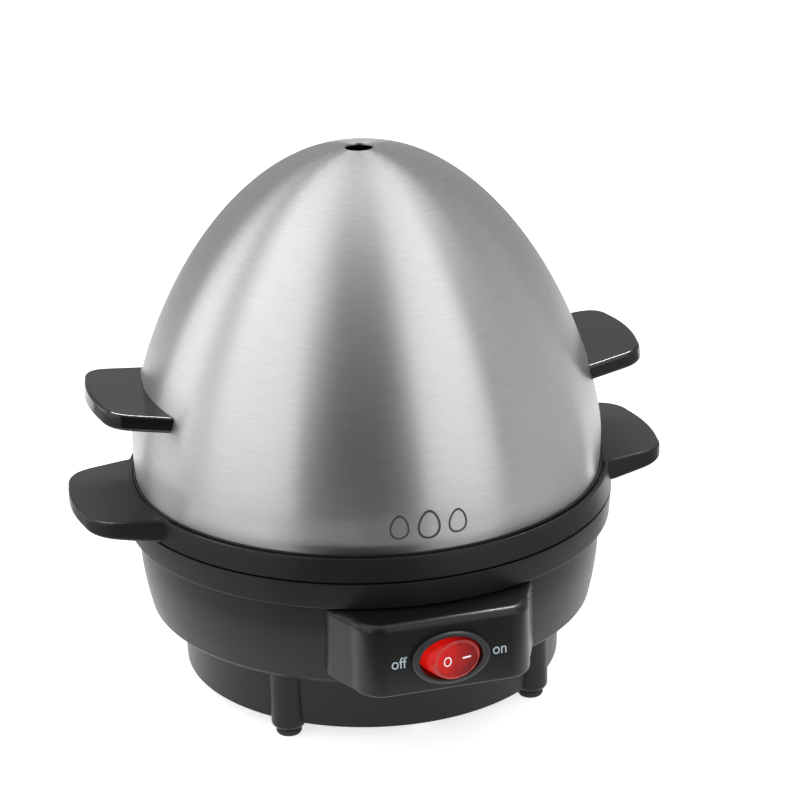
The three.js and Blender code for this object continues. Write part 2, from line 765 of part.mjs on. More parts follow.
function switchBody() {
  let solid = solidOf(block(-11.8, 11.8, -8.6, 8.6, SWITCH_BODY_BACK, -2.6));
  solid = solid.subtract(solidOf(block(-10.4, 10.4, -7.1, 7.1, -11.6, 0)));
  solid = solid.subtract(solidOf(block(-1.1, 1.1, -8, 8, ROCKER_PIVOT - 1.1, 0)));
  return part("switch_body", geometryOf(solid), GREY_PLASTIC);
}

function neonLamp() {
  const lamp = revolve([[0, -4], [1, -3.8], [1.7, -2.8], [1.7, 2.8], [1, 3.8], [0, 4]], 14);
  return placed(part("neon_lamp", lamp.rotateY(Math.PI / 2), LAMP_GLASS), 0, 0, ROCKER_PIVOT - 0.6);
}

function switchTerminals() {
  const group = new THREE.Group();
  TERMINAL_X.forEach((x, i) => {
    const tab = block(x - 0.4, x + 0.4, -2.4, 2.4, SWITCH_BODY_BACK - 7, SWITCH_BODY_BACK - GAP);
    group.add(part(`switch_terminal_${i + 1}`, tab, BRASS));
  });
  return group;
}

function switchAssembly() {
  const group = new THREE.Group();
  group.applyMatrix4(panelMatrix());
  group.add(switchBezel(), switchRocker(), switchBody(), neonLamp(), switchTerminals());
  return group;
}

// ---- Cord outlet, clamp and wiring ----

// A bush round the cord, held in the outlet's bore between its two flanges.
function cordGland() {
  const profile = [
    [CORD_R, 66.5],
    [7.6, 66.5],
    [7.6, 70.4],
    [OUTLET_BORE_R - GAP, 70.4],
    [OUTLET_BORE_R - GAP, OUTLET_BACK_Y + GAP],
    [9, OUTLET_BACK_Y + GAP],
    [9, OUTLET_BACK_Y + 3],
    [6.4, OUTLET_BACK_Y + 4],
    [5.8, GLAND_BACK_Y - 0.6],
    [5.2, GLAND_BACK_Y],
    [CORD_R, GLAND_BACK_Y],
  ];
  const bush = revolve(profile, 16).rotateX(-Math.PI / 2);
  return placed(part("cord_gland", bush, RUBBER), 0, 0, CORD_Z);
}

const CLAMP_SCREW_X = [-11, 11];
const CLAMP_Y = 63.6;

function clampScrewHoles() {
  const holes = CLAMP_SCREW_X.map((x) => solidOf(cylinder(1.8, 26, 50).translate(x, CLAMP_Y, 0)));
  return holes[0].add(holes[1]);
}

function cordClamp() {
  const clamp = solidOf(block(-14.6, 14.6, CLAMP_Y - 2.4, CLAMP_Y + 2.2, 41.6, 44.6));
  const legs = CLAMP_SCREW_X.map((x) =>
    solidOf(block(x - 3.4, x + 3.4, CLAMP_Y - 2.4, CLAMP_Y + 2.2, 33.8, 42)));
  const solid = clamp.add(legs[0]).add(legs[1]).subtract(clampScrewHoles());
  return part("cord_clamp", geometryOf(solid), NYLON);
}

function clampScrews() {
  const group = new THREE.Group();
  CLAMP_SCREW_X.forEach((x, i) => {
    const mesh = part(`clamp_screw_${i + 1}`, screw(2.9, 1.9, 1.5, 15.5), SCREW_STEEL);
    group.add(placed(mesh, x, CLAMP_Y, 44.9));
  });
  return group;
}

const BLOCK_Y = 30;
const BLOCK_Z = 12;
const BLOCK_X = [-8, 0, 8];

function terminalBlock() {
  let solid = solidOf(block(-13, 13, BLOCK_Y - 8, BLOCK_Y + 8, COVER_TOP_Z + GAP, BLOCK_Z + 6));
  for (const x of BLOCK_X) solid = solid.subtract(alongY(x, BLOCK_Y - 9, BLOCK_Y + 9, BLOCK_Z, 2));
  return part("terminal_block", geometryOf(solid), NYLON);
}

function leads() {
  const group = new THREE.Group();
  const front = BLOCK_Y - 8 - GAP;
  const back = BOX_FRONT_Y - SWITCH_BODY_BACK + 8;
  const [endX, endY] = elementEnd(1);
  const pinBottom = ELEMENT_Z - 18;
  const routes = {
    lead_live: [[-8, front, BLOCK_Z], [-10, 8, 12], [-14, -24, 16], [-9, -50, 34], [-7, back, SWITCH_Z]],
    lead_neutral: [
      [8, front, BLOCK_Z],
      [12, 12, 12],
      [30, 4, 14],
      [endX, endY - 2, 20],
      [endX, endY, pinBottom],
    ],
    lead_switched: [
      [endX, -endY, pinBottom],
      [endX - 2, -endY - 4, 20],
      [22, -38, 22],
      [3, -52, 34],
      [0, back, SWITCH_Z],
    ],
    lead_earth: [[0, front, BLOCK_Z], [-2, 14, 14], [-24, 8, 20], [-33, 6, 34], [-33, 6, 49.2]],
  };
  const colours = [BROWN_WIRE, BLUE_WIRE, BROWN_WIRE, GREEN_WIRE];
  Object.entries(routes).forEach(([name, route], i) => {
    group.add(part(name, bar(route, 1.3, 8, 10), colours[i]));
  });
  return group;
}

// ---- Assembly ----

const eggCooker = new THREE.Group();
eggCooker.name = "egg_cooker";

const lid = new THREE.Group();
lid.add(lidDome(), lidHandle(-1, "lid_handle_left"), lidHandle(1, "lid_handle_right"), lidScrews());

const base = new THREE.Group();
base.add(baseHousing(), bottomCover(), bottomScrews(), footPads());
base.add(heatingPlate(), plateGasket(), plateFixings());
base.add(heatingElement(), elementTerminals(), thermostat(), thermostatBracket(), thermalFuse());
base.add(controlBox(), boxScrews(), switchAssembly());
base.add(cordGland(), cordClamp(), clampScrews(), terminalBlock(), leads());

eggCooker.add(lid, eggTray(), base);

export default eggCooker;
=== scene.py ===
"""Looks of the egg cooker: smooth shells, finishes, floor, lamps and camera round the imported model.

Sizes in the classes are millimetres; everything handed to Blender is in metres, +Z up, front at -Y.
"""

import json
import logging
import math
from dataclasses import dataclass, field
from enum import Enum
from typing import Iterable, Sequence

import bmesh
import bpy
from mathutils import Matrix, Vector

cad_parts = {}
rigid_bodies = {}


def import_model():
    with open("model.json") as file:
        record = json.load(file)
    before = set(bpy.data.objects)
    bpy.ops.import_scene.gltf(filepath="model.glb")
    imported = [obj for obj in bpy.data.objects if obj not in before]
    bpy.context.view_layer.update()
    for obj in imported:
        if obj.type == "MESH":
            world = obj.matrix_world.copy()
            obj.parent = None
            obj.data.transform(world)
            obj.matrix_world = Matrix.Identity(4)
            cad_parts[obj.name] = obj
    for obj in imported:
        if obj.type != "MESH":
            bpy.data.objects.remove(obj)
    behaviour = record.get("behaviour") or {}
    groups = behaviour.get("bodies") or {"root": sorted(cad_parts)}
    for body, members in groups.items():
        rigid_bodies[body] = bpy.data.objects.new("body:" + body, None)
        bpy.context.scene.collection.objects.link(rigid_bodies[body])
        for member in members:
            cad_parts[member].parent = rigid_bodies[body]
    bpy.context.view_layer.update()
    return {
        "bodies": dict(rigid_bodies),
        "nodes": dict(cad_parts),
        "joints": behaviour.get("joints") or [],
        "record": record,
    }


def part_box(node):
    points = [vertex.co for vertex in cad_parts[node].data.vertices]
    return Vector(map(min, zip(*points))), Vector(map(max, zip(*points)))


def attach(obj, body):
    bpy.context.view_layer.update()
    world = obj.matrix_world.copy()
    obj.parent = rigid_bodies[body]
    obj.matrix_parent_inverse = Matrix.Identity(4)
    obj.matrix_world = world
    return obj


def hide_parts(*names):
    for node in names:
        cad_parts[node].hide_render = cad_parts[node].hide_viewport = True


MM = 0.001
SMOOTH_ANGLE = math.radians(32)
WELD_METRES = 1e-7
ON_AXIS = 1e-6

# Most of a noise's values lie between these two.
NOISE_LOW = 0.3
NOISE_HIGH = 0.7

# Steps round each kind of turned or oval piece.
DOME_STEPS = 224
BODY_STEPS = 208
DISH_STEPS = 192
BOSS_STEPS = 72
POST_STEPS = 48
SCREW_STEPS = 28
OVAL_STEPS = 128

Pair = tuple[float, float]
Triple = tuple[float, float, float]
Obj = bpy.types.Object
Material = bpy.types.Material
Tree = bpy.types.NodeTree
Node = bpy.types.Node
Socket = bpy.types.NodeSocket

log = logging.getLogger("egg_cooker")


class Body(Enum):
    """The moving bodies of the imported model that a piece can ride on."""

    BASE = "base"
    TRAY = "egg_tray"
    LID = "lid"
    ROCKER = "rocker"


class Cut(Enum):
    """How one solid is joined to or cut by another."""

    JOIN = "UNION"
    REMOVE = "DIFFERENCE"


# ---- Mesh building ----


def mesh_object(name: str, verts: Iterable[Sequence[float]], faces: Iterable[Sequence[int]]) -> Obj:
    """Make an object from points in millimetres.

    Args:
        name: the piece's name.
        verts: corner points, in millimetres.
        faces: corner numbers of each face, anticlockwise from outside.

    Returns:
        The new object, linked to the scene.
    """
    mesh = bpy.data.meshes.new(name)
    mesh.from_pydata([Vector(v) * MM for v in verts], [], list(faces))
    mesh.validate()
    obj = bpy.data.objects.new(name, mesh)
    bpy.context.scene.collection.objects.link(obj)
    return obj


def arc(centre: Pair, radius: float, start_deg: float, end_deg: float, steps: int) -> list[Pair]:
    """Points on an arc, both ends included.

    Args:
        centre: centre of the arc.
        radius: its radius.
        start_deg: angle of the first point.
        end_deg: angle of the last point.
        steps: number of chords.

    Returns:
        The points in order.
    """
    turns = [math.radians(start_deg + (end_deg - start_deg) * i / steps) for i in range(steps + 1)]
    return [(centre[0] + radius * math.cos(a), centre[1] + radius * math.sin(a)) for a in turns]


def fillet(corners: Sequence[Triple], steps: int = 4) -> list[Pair]:
    """Round the corners of an open path.

    Args:
        corners: (u, v, radius) of each corner; a radius of 0 leaves it sharp.
        steps: chords in each rounding.

    Returns:
        The points of the rounded path.
    """
    path: list[Pair] = []
    for i, (u, v, radius) in enumerate(corners):
        here = Vector((u, v))
        if radius <= 0 or i in (0, len(corners) - 1):
            path.append((u, v))
            continue
        back = Vector(corners[i - 1][:2]) - here
        ahead = Vector(corners[i + 1][:2]) - here
        half = back.angle(ahead) / 2
        reach = min(radius / math.tan(half), back.length * 0.49, ahead.length * 0.49)
        first = here + back.normalized() * reach
        last = here + ahead.normalized() * reach
        for k in range(steps + 1):
            t = k / steps
            point = first * (1 - t) ** 2 + here * 2 * t * (1 - t) + last * t**2
            path.append((point.x, point.y))
    return path


def revolve(name: str, profile: Sequence[Pair], sides: int = 160) -> Obj:
    """Make a closed solid by turning a closed profile about Z.

    Args:
        name: the piece's name.
        profile: (radius, height) points; it starts and ends on the axis or closes on itself.
        sides: number of steps round the axis.

    Returns:
        The new object.
    """
    verts: list[Triple] = []
    rings: list[list[int]] = []
    for radius, height in profile:
        if radius < ON_AXIS:
            rings.append([len(verts)] * sides)
            verts.append((0.0, 0.0, height))
            continue
        rings.append(list(range(len(verts), len(verts) + sides)))
        for k in range(sides):
            a = 2 * math.pi * k / sides
            verts.append((radius * math.cos(a), radius * math.sin(a), height))
    on_axis = profile[0][0] < ON_AXIS and profile[-1][0] < ON_AXIS
    pairs = list(zip(rings, rings[1:]))
    if not on_axis:
        pairs.append((rings[-1], rings[0]))
    faces = []
    for low, high in pairs:
        for k in range(sides):
            n = (k + 1) % sides
            corners = [low[k], low[n], high[n], high[k]]
            unique = list(dict.fromkeys(corners))
            if len(unique) > 2:
                faces.append(unique)
    obj = mesh_object(name, verts, faces)
    face_outwards(obj)
    return obj


def inset_outline(outline: Sequence[Pair], inset: float) -> list[Pair]:
    """Move a closed anticlockwise outline inwards along its normals.

    Args:
        outline: points of the outline.
        inset: distance to move in.

    Returns:
        The moved points, as many as before.
    """
    count = len(outline)
    moved = []
    for i, (x, y) in enumerate(outline):
        back = Vector((x - outline[i - 1][0], y - outline[i - 1][1])).normalized()
        ahead_point = outline[(i + 1) % count]
        ahead = Vector((ahead_point[0] - x, ahead_point[1] - y)).normalized()
        normal = Vector((-back.y, back.x)) + Vector((-ahead.y, ahead.x))
        normal.normalize()
        stretch = 1 / max(0.5, normal.dot(Vector((-back.y, back.x))))
        moved.append((x + normal.x * inset * stretch, y + normal.y * inset * stretch))
    return moved


def loft(name: str, outline: Sequence[Pair], levels: Sequence[Pair]) -> Obj:
    """Stack insets of one outline into a closed solid.

    Args:
        name: the piece's name.
        outline: closed anticlockwise outline in plan.
        levels: (height, inset) of each layer from the bottom up.

    Returns:
        The new object.
    """
    return stack(name, [(height, inset_outline(outline, inset)) for height, inset in levels])


def stack(name: str, layers: Sequence[tuple[float, Sequence[Pair]]]) -> Obj:
    """Join flat outlines, one above the other, into a closed solid.

    Args:
        name: the piece's name.
        layers: (height, outline) from the bottom up; all outlines have as many points.

    Returns:
        The new object.
    """
    count = len(layers[0][1])
    verts = [(x, y, height) for height, outline in layers for x, y in outline]
    faces: list[list[int]] = []
    for layer in range(len(layers) - 1):
        low, high = layer * count, (layer + 1) * count
        for k in range(count):
            n = (k + 1) % count
            faces.append([low + k, low + n, high + n, high + k])
    faces.append(list(reversed(range(count))))
    faces.append(list(range((len(layers) - 1) * count, len(layers) * count)))
    obj = mesh_object(name, verts, faces)
    face_outwards(obj)
    return obj


def edge_levels(low: float, high: float, low_radius: float, high_radius: float) -> list[Pair]:
    """Layers of a slab with rounded bottom and top edges, for loft().

    Args:
        low: height of the bottom face.
        high: height of the top face.
        low_radius: rounding of the bottom edge.
        high_radius: rounding of the top edge.

    Returns:
        (height, inset) pairs from the bottom up.
    """
    steps = 5
    face_border = 0.5
    turns = [math.pi / 2 * i / steps for i in range(steps + 1)]
    levels = [(low, low_radius + face_border)]
    levels += [(low + low_radius * (1 - math.cos(a)), low_radius * (1 - math.sin(a))) for a in turns]
    levels += [(high - high_radius * (1 - math.sin(a)), high_radius * (1 - math.cos(a))) for a in turns]
    levels.append((high, high_radius + face_border))
    return levels


def face_outwards(obj: Obj) -> None:
    """Turn every face of a closed mesh outwards and drop doubled points.

    Args:
        obj: the piece, changed in place.
    """
    work = bmesh.new()
    work.from_mesh(obj.data)
    bmesh.ops.remove_doubles(work, verts=work.verts, dist=WELD_METRES)
    bmesh.ops.recalc_face_normals(work, faces=work.faces)
    work.to_mesh(obj.data)
    work.free()


def apply_modifiers(obj: Obj) -> None:
    """Bake an object's modifiers into its mesh.

    Args:
        obj: the piece, changed in place.
    """
    graph = bpy.context.evaluated_depsgraph_get()
    mesh = bpy.data.meshes.new_from_object(obj.evaluated_get(graph), depsgraph=graph)
    old = obj.data
    obj.modifiers.clear()
    obj.data = mesh
    bpy.data.meshes.remove(old)
    mesh.name = obj.name


def combine(target: Obj, tool: Obj, how: Cut) -> Obj:
    """Join or cut one solid with another, and remove the tool.

    Args:
        target: the solid that is kept.
        tool: the solid that joins or cuts it.
        how: the operation.

    Returns:
        The target, changed in place.
    """
    step = target.modifiers.new("combine", "BOOLEAN")
    step.operation = how.value
    step.solver = "EXACT"
    step.object = tool
    apply_modifiers(target)
    bpy.data.objects.remove(tool)
    return target


def move(obj: Obj, matrix: Matrix) -> Obj:
    """Move a piece's mesh; the matrix's shift is in metres."""
    obj.data.transform(matrix)
    return obj


def shift(x: float, y: float, z: float) -> Matrix:
    """A shift by millimetres."""
    return Matrix.Translation(Vector((x, y, z)) * MM)


def soften(obj: Obj) -> Obj:
    """Give a piece smooth shading that stays crisp at its edges.

    Args:
        obj: the piece.

    Returns:
        The same piece.
    """
    obj.data.polygons.foreach_set("use_smooth", [True] * len(obj.data.polygons))
    obj.data.set_sharp_from_angle(angle=SMOOTH_ANGLE)
    weighted = obj.modifiers.new("normals", "WEIGHTED_NORMAL")
    weighted.keep_sharp = True
    weighted.weight = 80
    return obj


def dress(obj: Obj, material: Material) -> Obj:
    """Give every face of a piece one material.

    Args:
        obj: the piece.
        material: the material it gets.

    Returns:
        The same piece.
    """
    obj.data.materials.clear()
    obj.data.materials.append(material)
    return obj


def place(obj: Obj, body: Body, slot: str, *nodes: str) -> Obj:
    """Hand a finished piece to the frame.

    Args:
        obj: the piece.
        body: the body it rides on.
        slot: the record's material slot; not used.
        nodes: the CAD nodes that it stands for.

    Returns:
        The same piece.
    """
    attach(obj, body.value)
    if nodes:
        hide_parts(*nodes)
    log.info("%s: %d faces on %s", obj.name, len(obj.data.polygons), body.value)
    return obj


# ---- Finishes ----


@dataclass(frozen=True)
class NodeBoard:
    """A material's node tree with short ways to add to it."""

    name: str

    def start(self) -> tuple[Material, Tree, Node]:
        """Make the material.

        Returns:
            The material, its node tree and its shader.
        """
        material = bpy.data.materials.new(self.name)
        material.use_nodes = True
        tree = material.node_tree
        return material, tree, tree.nodes["Principled BSDF"]


def add_node(tree: Tree, kind: str, **sockets: object) -> Node:
    """Add a node and set its inputs by name.

    Args:
        tree: the material's node tree.
        kind: the node's type.
        sockets: input values; underscores stand for spaces.

    Returns:
        The new node.
    """
    node = tree.nodes.new(kind)
    for key, value in sockets.items():
        node.inputs[key.replace("_", " ")].default_value = value
    return node


def grain(tree: Tree, scale: float, stretch: Triple) -> Node:
    """A fine noise in the object's own coordinates.

    Args:
        tree: the material's node tree.
        scale: noise scale per metre.
        stretch: scale along each axis.

    Returns:
        The noise node.
    """
    place_node = tree.nodes.new("ShaderNodeTexCoord")
    mapping = tree.nodes.new("ShaderNodeMapping")
    mapping.inputs["Scale"].default_value = stretch
    noise = add_node(tree, "ShaderNodeTexNoise", Scale=scale, Detail=3.0, Roughness=0.6)
    tree.links.new(place_node.outputs["Object"], mapping.inputs["Vector"])
    tree.links.new(mapping.outputs["Vector"], noise.inputs["Vector"])
    return noise


def calculate(tree: Tree, operation: str, *values: Socket | float) -> Socket:
    """Work out one value from others.

    Args:
        tree: the material's node tree.
        operation: what the math node does.
        values: sockets to link or plain numbers, in the node's order.

    Returns:
        The result's socket.
    """
    node = tree.nodes.new("ShaderNodeMath")
    node.operation = operation
    for slot, value in zip(node.inputs, values):
        if isinstance(value, Socket):
            tree.links.new(value, slot)
        else:
            slot.default_value = value
    return node.outputs["Value"]


def spread(tree: Tree, source: Socket, low: float, high: float,
           start: float = NOISE_LOW, end: float = NOISE_HIGH) -> Socket:
    """Map a value to a range, held at the range's ends.

    Args:
        tree: the material's node tree.
        source: the value.
        low: result at the start and below it.
        high: result at the end and above it.
        start: value that gives the low result.
        end: value that gives the high result.

    Returns:
        The mapped value's socket.
    """
    node = tree.nodes.new("ShaderNodeMapRange")
    node.inputs["From Min"].default_value = start
    node.inputs["From Max"].default_value = end
    node.inputs["To Min"].default_value = low
    node.inputs["To Max"].default_value = high
    tree.links.new(source, node.inputs["Value"])
    return node.outputs["Result"]


def bump(tree: Tree, shader: Node, height: Socket, strength: float, depth: float) -> None:
    """Drive the shader's normal from a height.

    Args:
        tree: the material's node tree.
        shader: the shader that takes the normal.
        height: the height's socket.
        strength: how much of it shows.
        depth: its depth in metres.
    """
    node = tree.nodes.new("ShaderNodeBump")
    node.inputs["Strength"].default_value = strength
    node.inputs["Distance"].default_value = depth
    tree.links.new(height, node.inputs["Height"])
    tree.links.new(node.outputs["Normal"], shader.inputs["Normal"])


def tint(tree: Tree, shader: Node, value: Socket,
         dark: Sequence[float], light: Sequence[float]) -> None:
    """Colour the shader between two colours by a value.

    Args:
        tree: the material's node tree.
        shader: the shader that is coloured.
        value: a noise's value, dark where it is low and light where it is high.
        dark: the darker colour.
        light: the lighter colour.
    """
    ramp = tree.nodes.new("ShaderNodeValToRGB")
    ramp.color_ramp.elements[0].position = NOISE_LOW
    ramp.color_ramp.elements[1].position = NOISE_HIGH
    ramp.color_ramp.elements[0].color = (*dark, 1.0)
    ramp.color_ramp.elements[1].color = (*light, 1.0)
    tree.links.new(value, ramp.inputs["Fac"])
    tree.links.new(ramp.outputs["Color"], shader.inputs["Base Color"])


@dataclass(frozen=True)
class MouldedPlastic:
    """Injection-moulded plastic with a fine spark-eroded grain."""

    name: str
    colour: Triple
    roughness: float = 0.4
    variation: float = 0.12
    grain_depth: float = 0.00004
    grain_scale: float = 2600.0
    specular: float = 0.5
    broad_scale: float = 22.0
    bump_strength: float = 0.35

    def material(self) -> Material:
        """Make the material.

        Returns:
            The material.
        """
        material, tree, shader = NodeBoard(self.name).start()
        fine = grain(tree, self.grain_scale, (1, 1, 1))
        broad = grain(tree, self.broad_scale, (1, 1, 1))
        dark = [c * (1 - self.variation) for c in self.colour]
        light = [c * (1 + self.variation) for c in self.colour]
        tint(tree, shader, broad.outputs["Fac"], dark, light)
        rough = spread(tree, broad.outputs["Fac"], self.roughness * 0.92, self.roughness * 1.1)
        tree.links.new(rough, shader.inputs["Roughness"])
        shader.inputs["Specular IOR Level"].default_value = self.specular
        bump(tree, shader, fine.outputs["Fac"], self.bump_strength, self.grain_depth)
        return material


@dataclass(frozen=True)
class BrushedSteel:
    """Stainless sheet with brush lines that run round the Z axis."""

    name: str
    colour: Triple = (0.66, 0.66, 0.665)
    roughness: float = 0.36
    anisotropy: float = 0.93
    line_scale: float = 3400.0
    line_depth: float = 0.00002
    line_shade: float = 0.82
    angle_scale: float = 0.0016
    broad_scale: float = 14.0
    broad_share: float = 0.35
    bump_strength: float = 0.3

    def material(self) -> Material:
        """Make the material.

        Returns:
            The material.
        """
        material, tree, shader = NodeBoard(self.name).start()
        shader.inputs["Metallic"].default_value = 1.0
        shader.inputs["Anisotropic"].default_value = self.anisotropy
        shader.inputs["Anisotropic Rotation"].default_value = 0.25
        tangent = tree.nodes.new("ShaderNodeTangent")
        tangent.direction_type = "RADIAL"
        tangent.axis = "Z"
        tree.links.new(tangent.outputs["Tangent"], shader.inputs["Tangent"])
        lines = self.round_lines(tree)
        broad = grain(tree, self.broad_scale, (1, 1, 1))
        dark = [c * self.line_shade for c in self.colour]
        tint(tree, shader, lines, dark, self.colour)
        both = calculate(tree, "MULTIPLY_ADD", broad.outputs["Fac"], self.broad_share, lines)
        rough = spread(tree, both, self.roughness * 0.9, self.roughness * 1.12)
        tree.links.new(rough, shader.inputs["Roughness"])
        bump(tree, shader, lines, self.bump_strength, self.line_depth)
        return material

    def round_lines(self, tree: Tree) -> Socket:
        """Noise drawn out round the axis: fine in height, long in angle.

        Args:
            tree: the material's node tree.

        Returns:
            The noise's socket.
        """
        coord = tree.nodes.new("ShaderNodeTexCoord")
        split = tree.nodes.new("ShaderNodeSeparateXYZ")
        tree.links.new(coord.outputs["Object"], split.inputs["Vector"])
        angle = calculate(tree, "ARCTAN2", split.outputs["Y"], split.outputs["X"])
        slow = calculate(tree, "MULTIPLY", angle, self.angle_scale)
        joined = tree.nodes.new("ShaderNodeCombineXYZ")
        tree.links.new(slow, joined.inputs["X"])
        tree.links.new(split.outputs["Z"], joined.inputs["Z"])
        noise = add_node(tree, "ShaderNodeTexNoise", Scale=self.line_scale, Detail=4.0, Roughness=0.65)
        tree.links.new(joined.outputs["Vector"], noise.inputs["Vector"])
        return noise.outputs["Fac"]


@dataclass(frozen=True)
class Lens:
    """Clear red moulding that glows most in front of the lamp behind it."""

    name: str
    colour: Triple = (0.17, 0.002, 0.002)
    glow: Triple = (1.0, 0.012, 0.008)
    strength: float = 0.8
    roughness: float = 0.16
    lamp_at: Triple = (0.0, 0.0, 0.0)
    glow_reach: float = 0.0125
    specular: float = 0.25
    cloud_scale: float = 260.0
    mesh_scale: float = 1500.0
    mesh_depth: float = 0.00012

    def material(self) -> Material:
        """Make the material.

        Returns:
            The material.
        """
        material, tree, shader = NodeBoard(self.name).start()
        cloud = grain(tree, self.cloud_scale, (1, 1, 1.4))
        dots = tree.nodes.new("ShaderNodeTexVoronoi")
        dots.inputs["Scale"].default_value = self.mesh_scale
        tint(tree, shader, cloud.outputs["Fac"], [c * 0.35 for c in self.colour], self.colour)
        shader.inputs["Roughness"].default_value = self.roughness
        shader.inputs["Specular IOR Level"].default_value = self.specular
        shader.inputs["Emission Color"].default_value = (*self.glow, 1.0)
        tree.links.new(self.glow_level(tree, cloud, dots), shader.inputs["Emission Strength"])
        bump(tree, shader, dots.outputs["Distance"], 0.2, self.mesh_depth)
        return material

    def glow_level(self, tree: Tree, cloud: Node, dots: Node) -> Socket:
        """Glow that falls off with distance from the lamp, broken up by clouds and a fine moulded mesh.

        Args:
            tree: the material's node tree.
            cloud: the noise that clouds it.
            dots: the cells of the moulded mesh.

        Returns:
            The glow's socket.
        """
        place_node = tree.nodes.new("ShaderNodeTexCoord")
        away = tree.nodes.new("ShaderNodeVectorMath")
        away.operation = "DISTANCE"
        away.inputs[1].default_value = self.lamp_at
        tree.links.new(place_node.outputs["Object"], away.inputs[0])
        fall = tree.nodes.new("ShaderNodeMapRange")
        fall.interpolation_type = "SMOOTHSTEP"
        fall.inputs["From Min"].default_value = self.glow_reach * 0.22
        fall.inputs["From Max"].default_value = self.glow_reach
        fall.inputs["To Min"].default_value = self.strength
        fall.inputs["To Max"].default_value = self.strength * 0.16
        tree.links.new(away.outputs["Value"], fall.inputs["Value"])
        patchy = spread(tree, cloud.outputs["Fac"], 0.8, 1.08)
        mesh = spread(tree, dots.outputs["Distance"], 1.1, 0.7, 0.0, 0.6)
        clouded = calculate(tree, "MULTIPLY", fall.outputs["Result"], patchy)
        return calculate(tree, "MULTIPLY", clouded, mesh)


@dataclass(frozen=True)
class Ink:
    """Flat printed ink with slightly uneven cover."""

    name: str
    colour: Triple
    roughness: float = 0.5
    glow: float = 0.0

    def material(self) -> Material:
        """Make the material.

        Returns:
            The material.
        """
        material, tree, shader = NodeBoard(self.name).start()
        cover = grain(tree, 900.0, (1, 1, 1))
        tint(tree, shader, cover.outputs["Fac"], [c * 0.92 for c in self.colour], self.colour)
        shader.inputs["Roughness"].default_value = self.roughness
        if self.glow > 0:
            shader.inputs["Emission Color"].default_value = (*self.colour, 1.0)
            shader.inputs["Emission Strength"].default_value = self.glow
        bump(tree, shader, cover.outputs["Fac"], 0.15, 0.00002)
        return material


@dataclass(frozen=True)
class PlainMetal:
    """Plated or drawn metal with a faint mottle."""

    name: str
    colour: Triple
    roughness: float = 0.35

    def material(self) -> Material:
        """Make the material.

        Returns:
            The material.
        """
        material, tree, shader = NodeBoard(self.name).start()
        mottle = grain(tree, 350.0, (1, 1, 1))
        tint(tree, shader, mottle.outputs["Fac"], [c * 0.85 for c in self.colour], self.colour)
        shader.inputs["Metallic"].default_value = 1.0
        rough = spread(tree, mottle.outputs["Fac"], self.roughness * 0.85, self.roughness * 1.15)
        tree.links.new(rough, shader.inputs["Roughness"])
        bump(tree, shader, mottle.outputs["Fac"], 0.2, 0.00003)
        return material


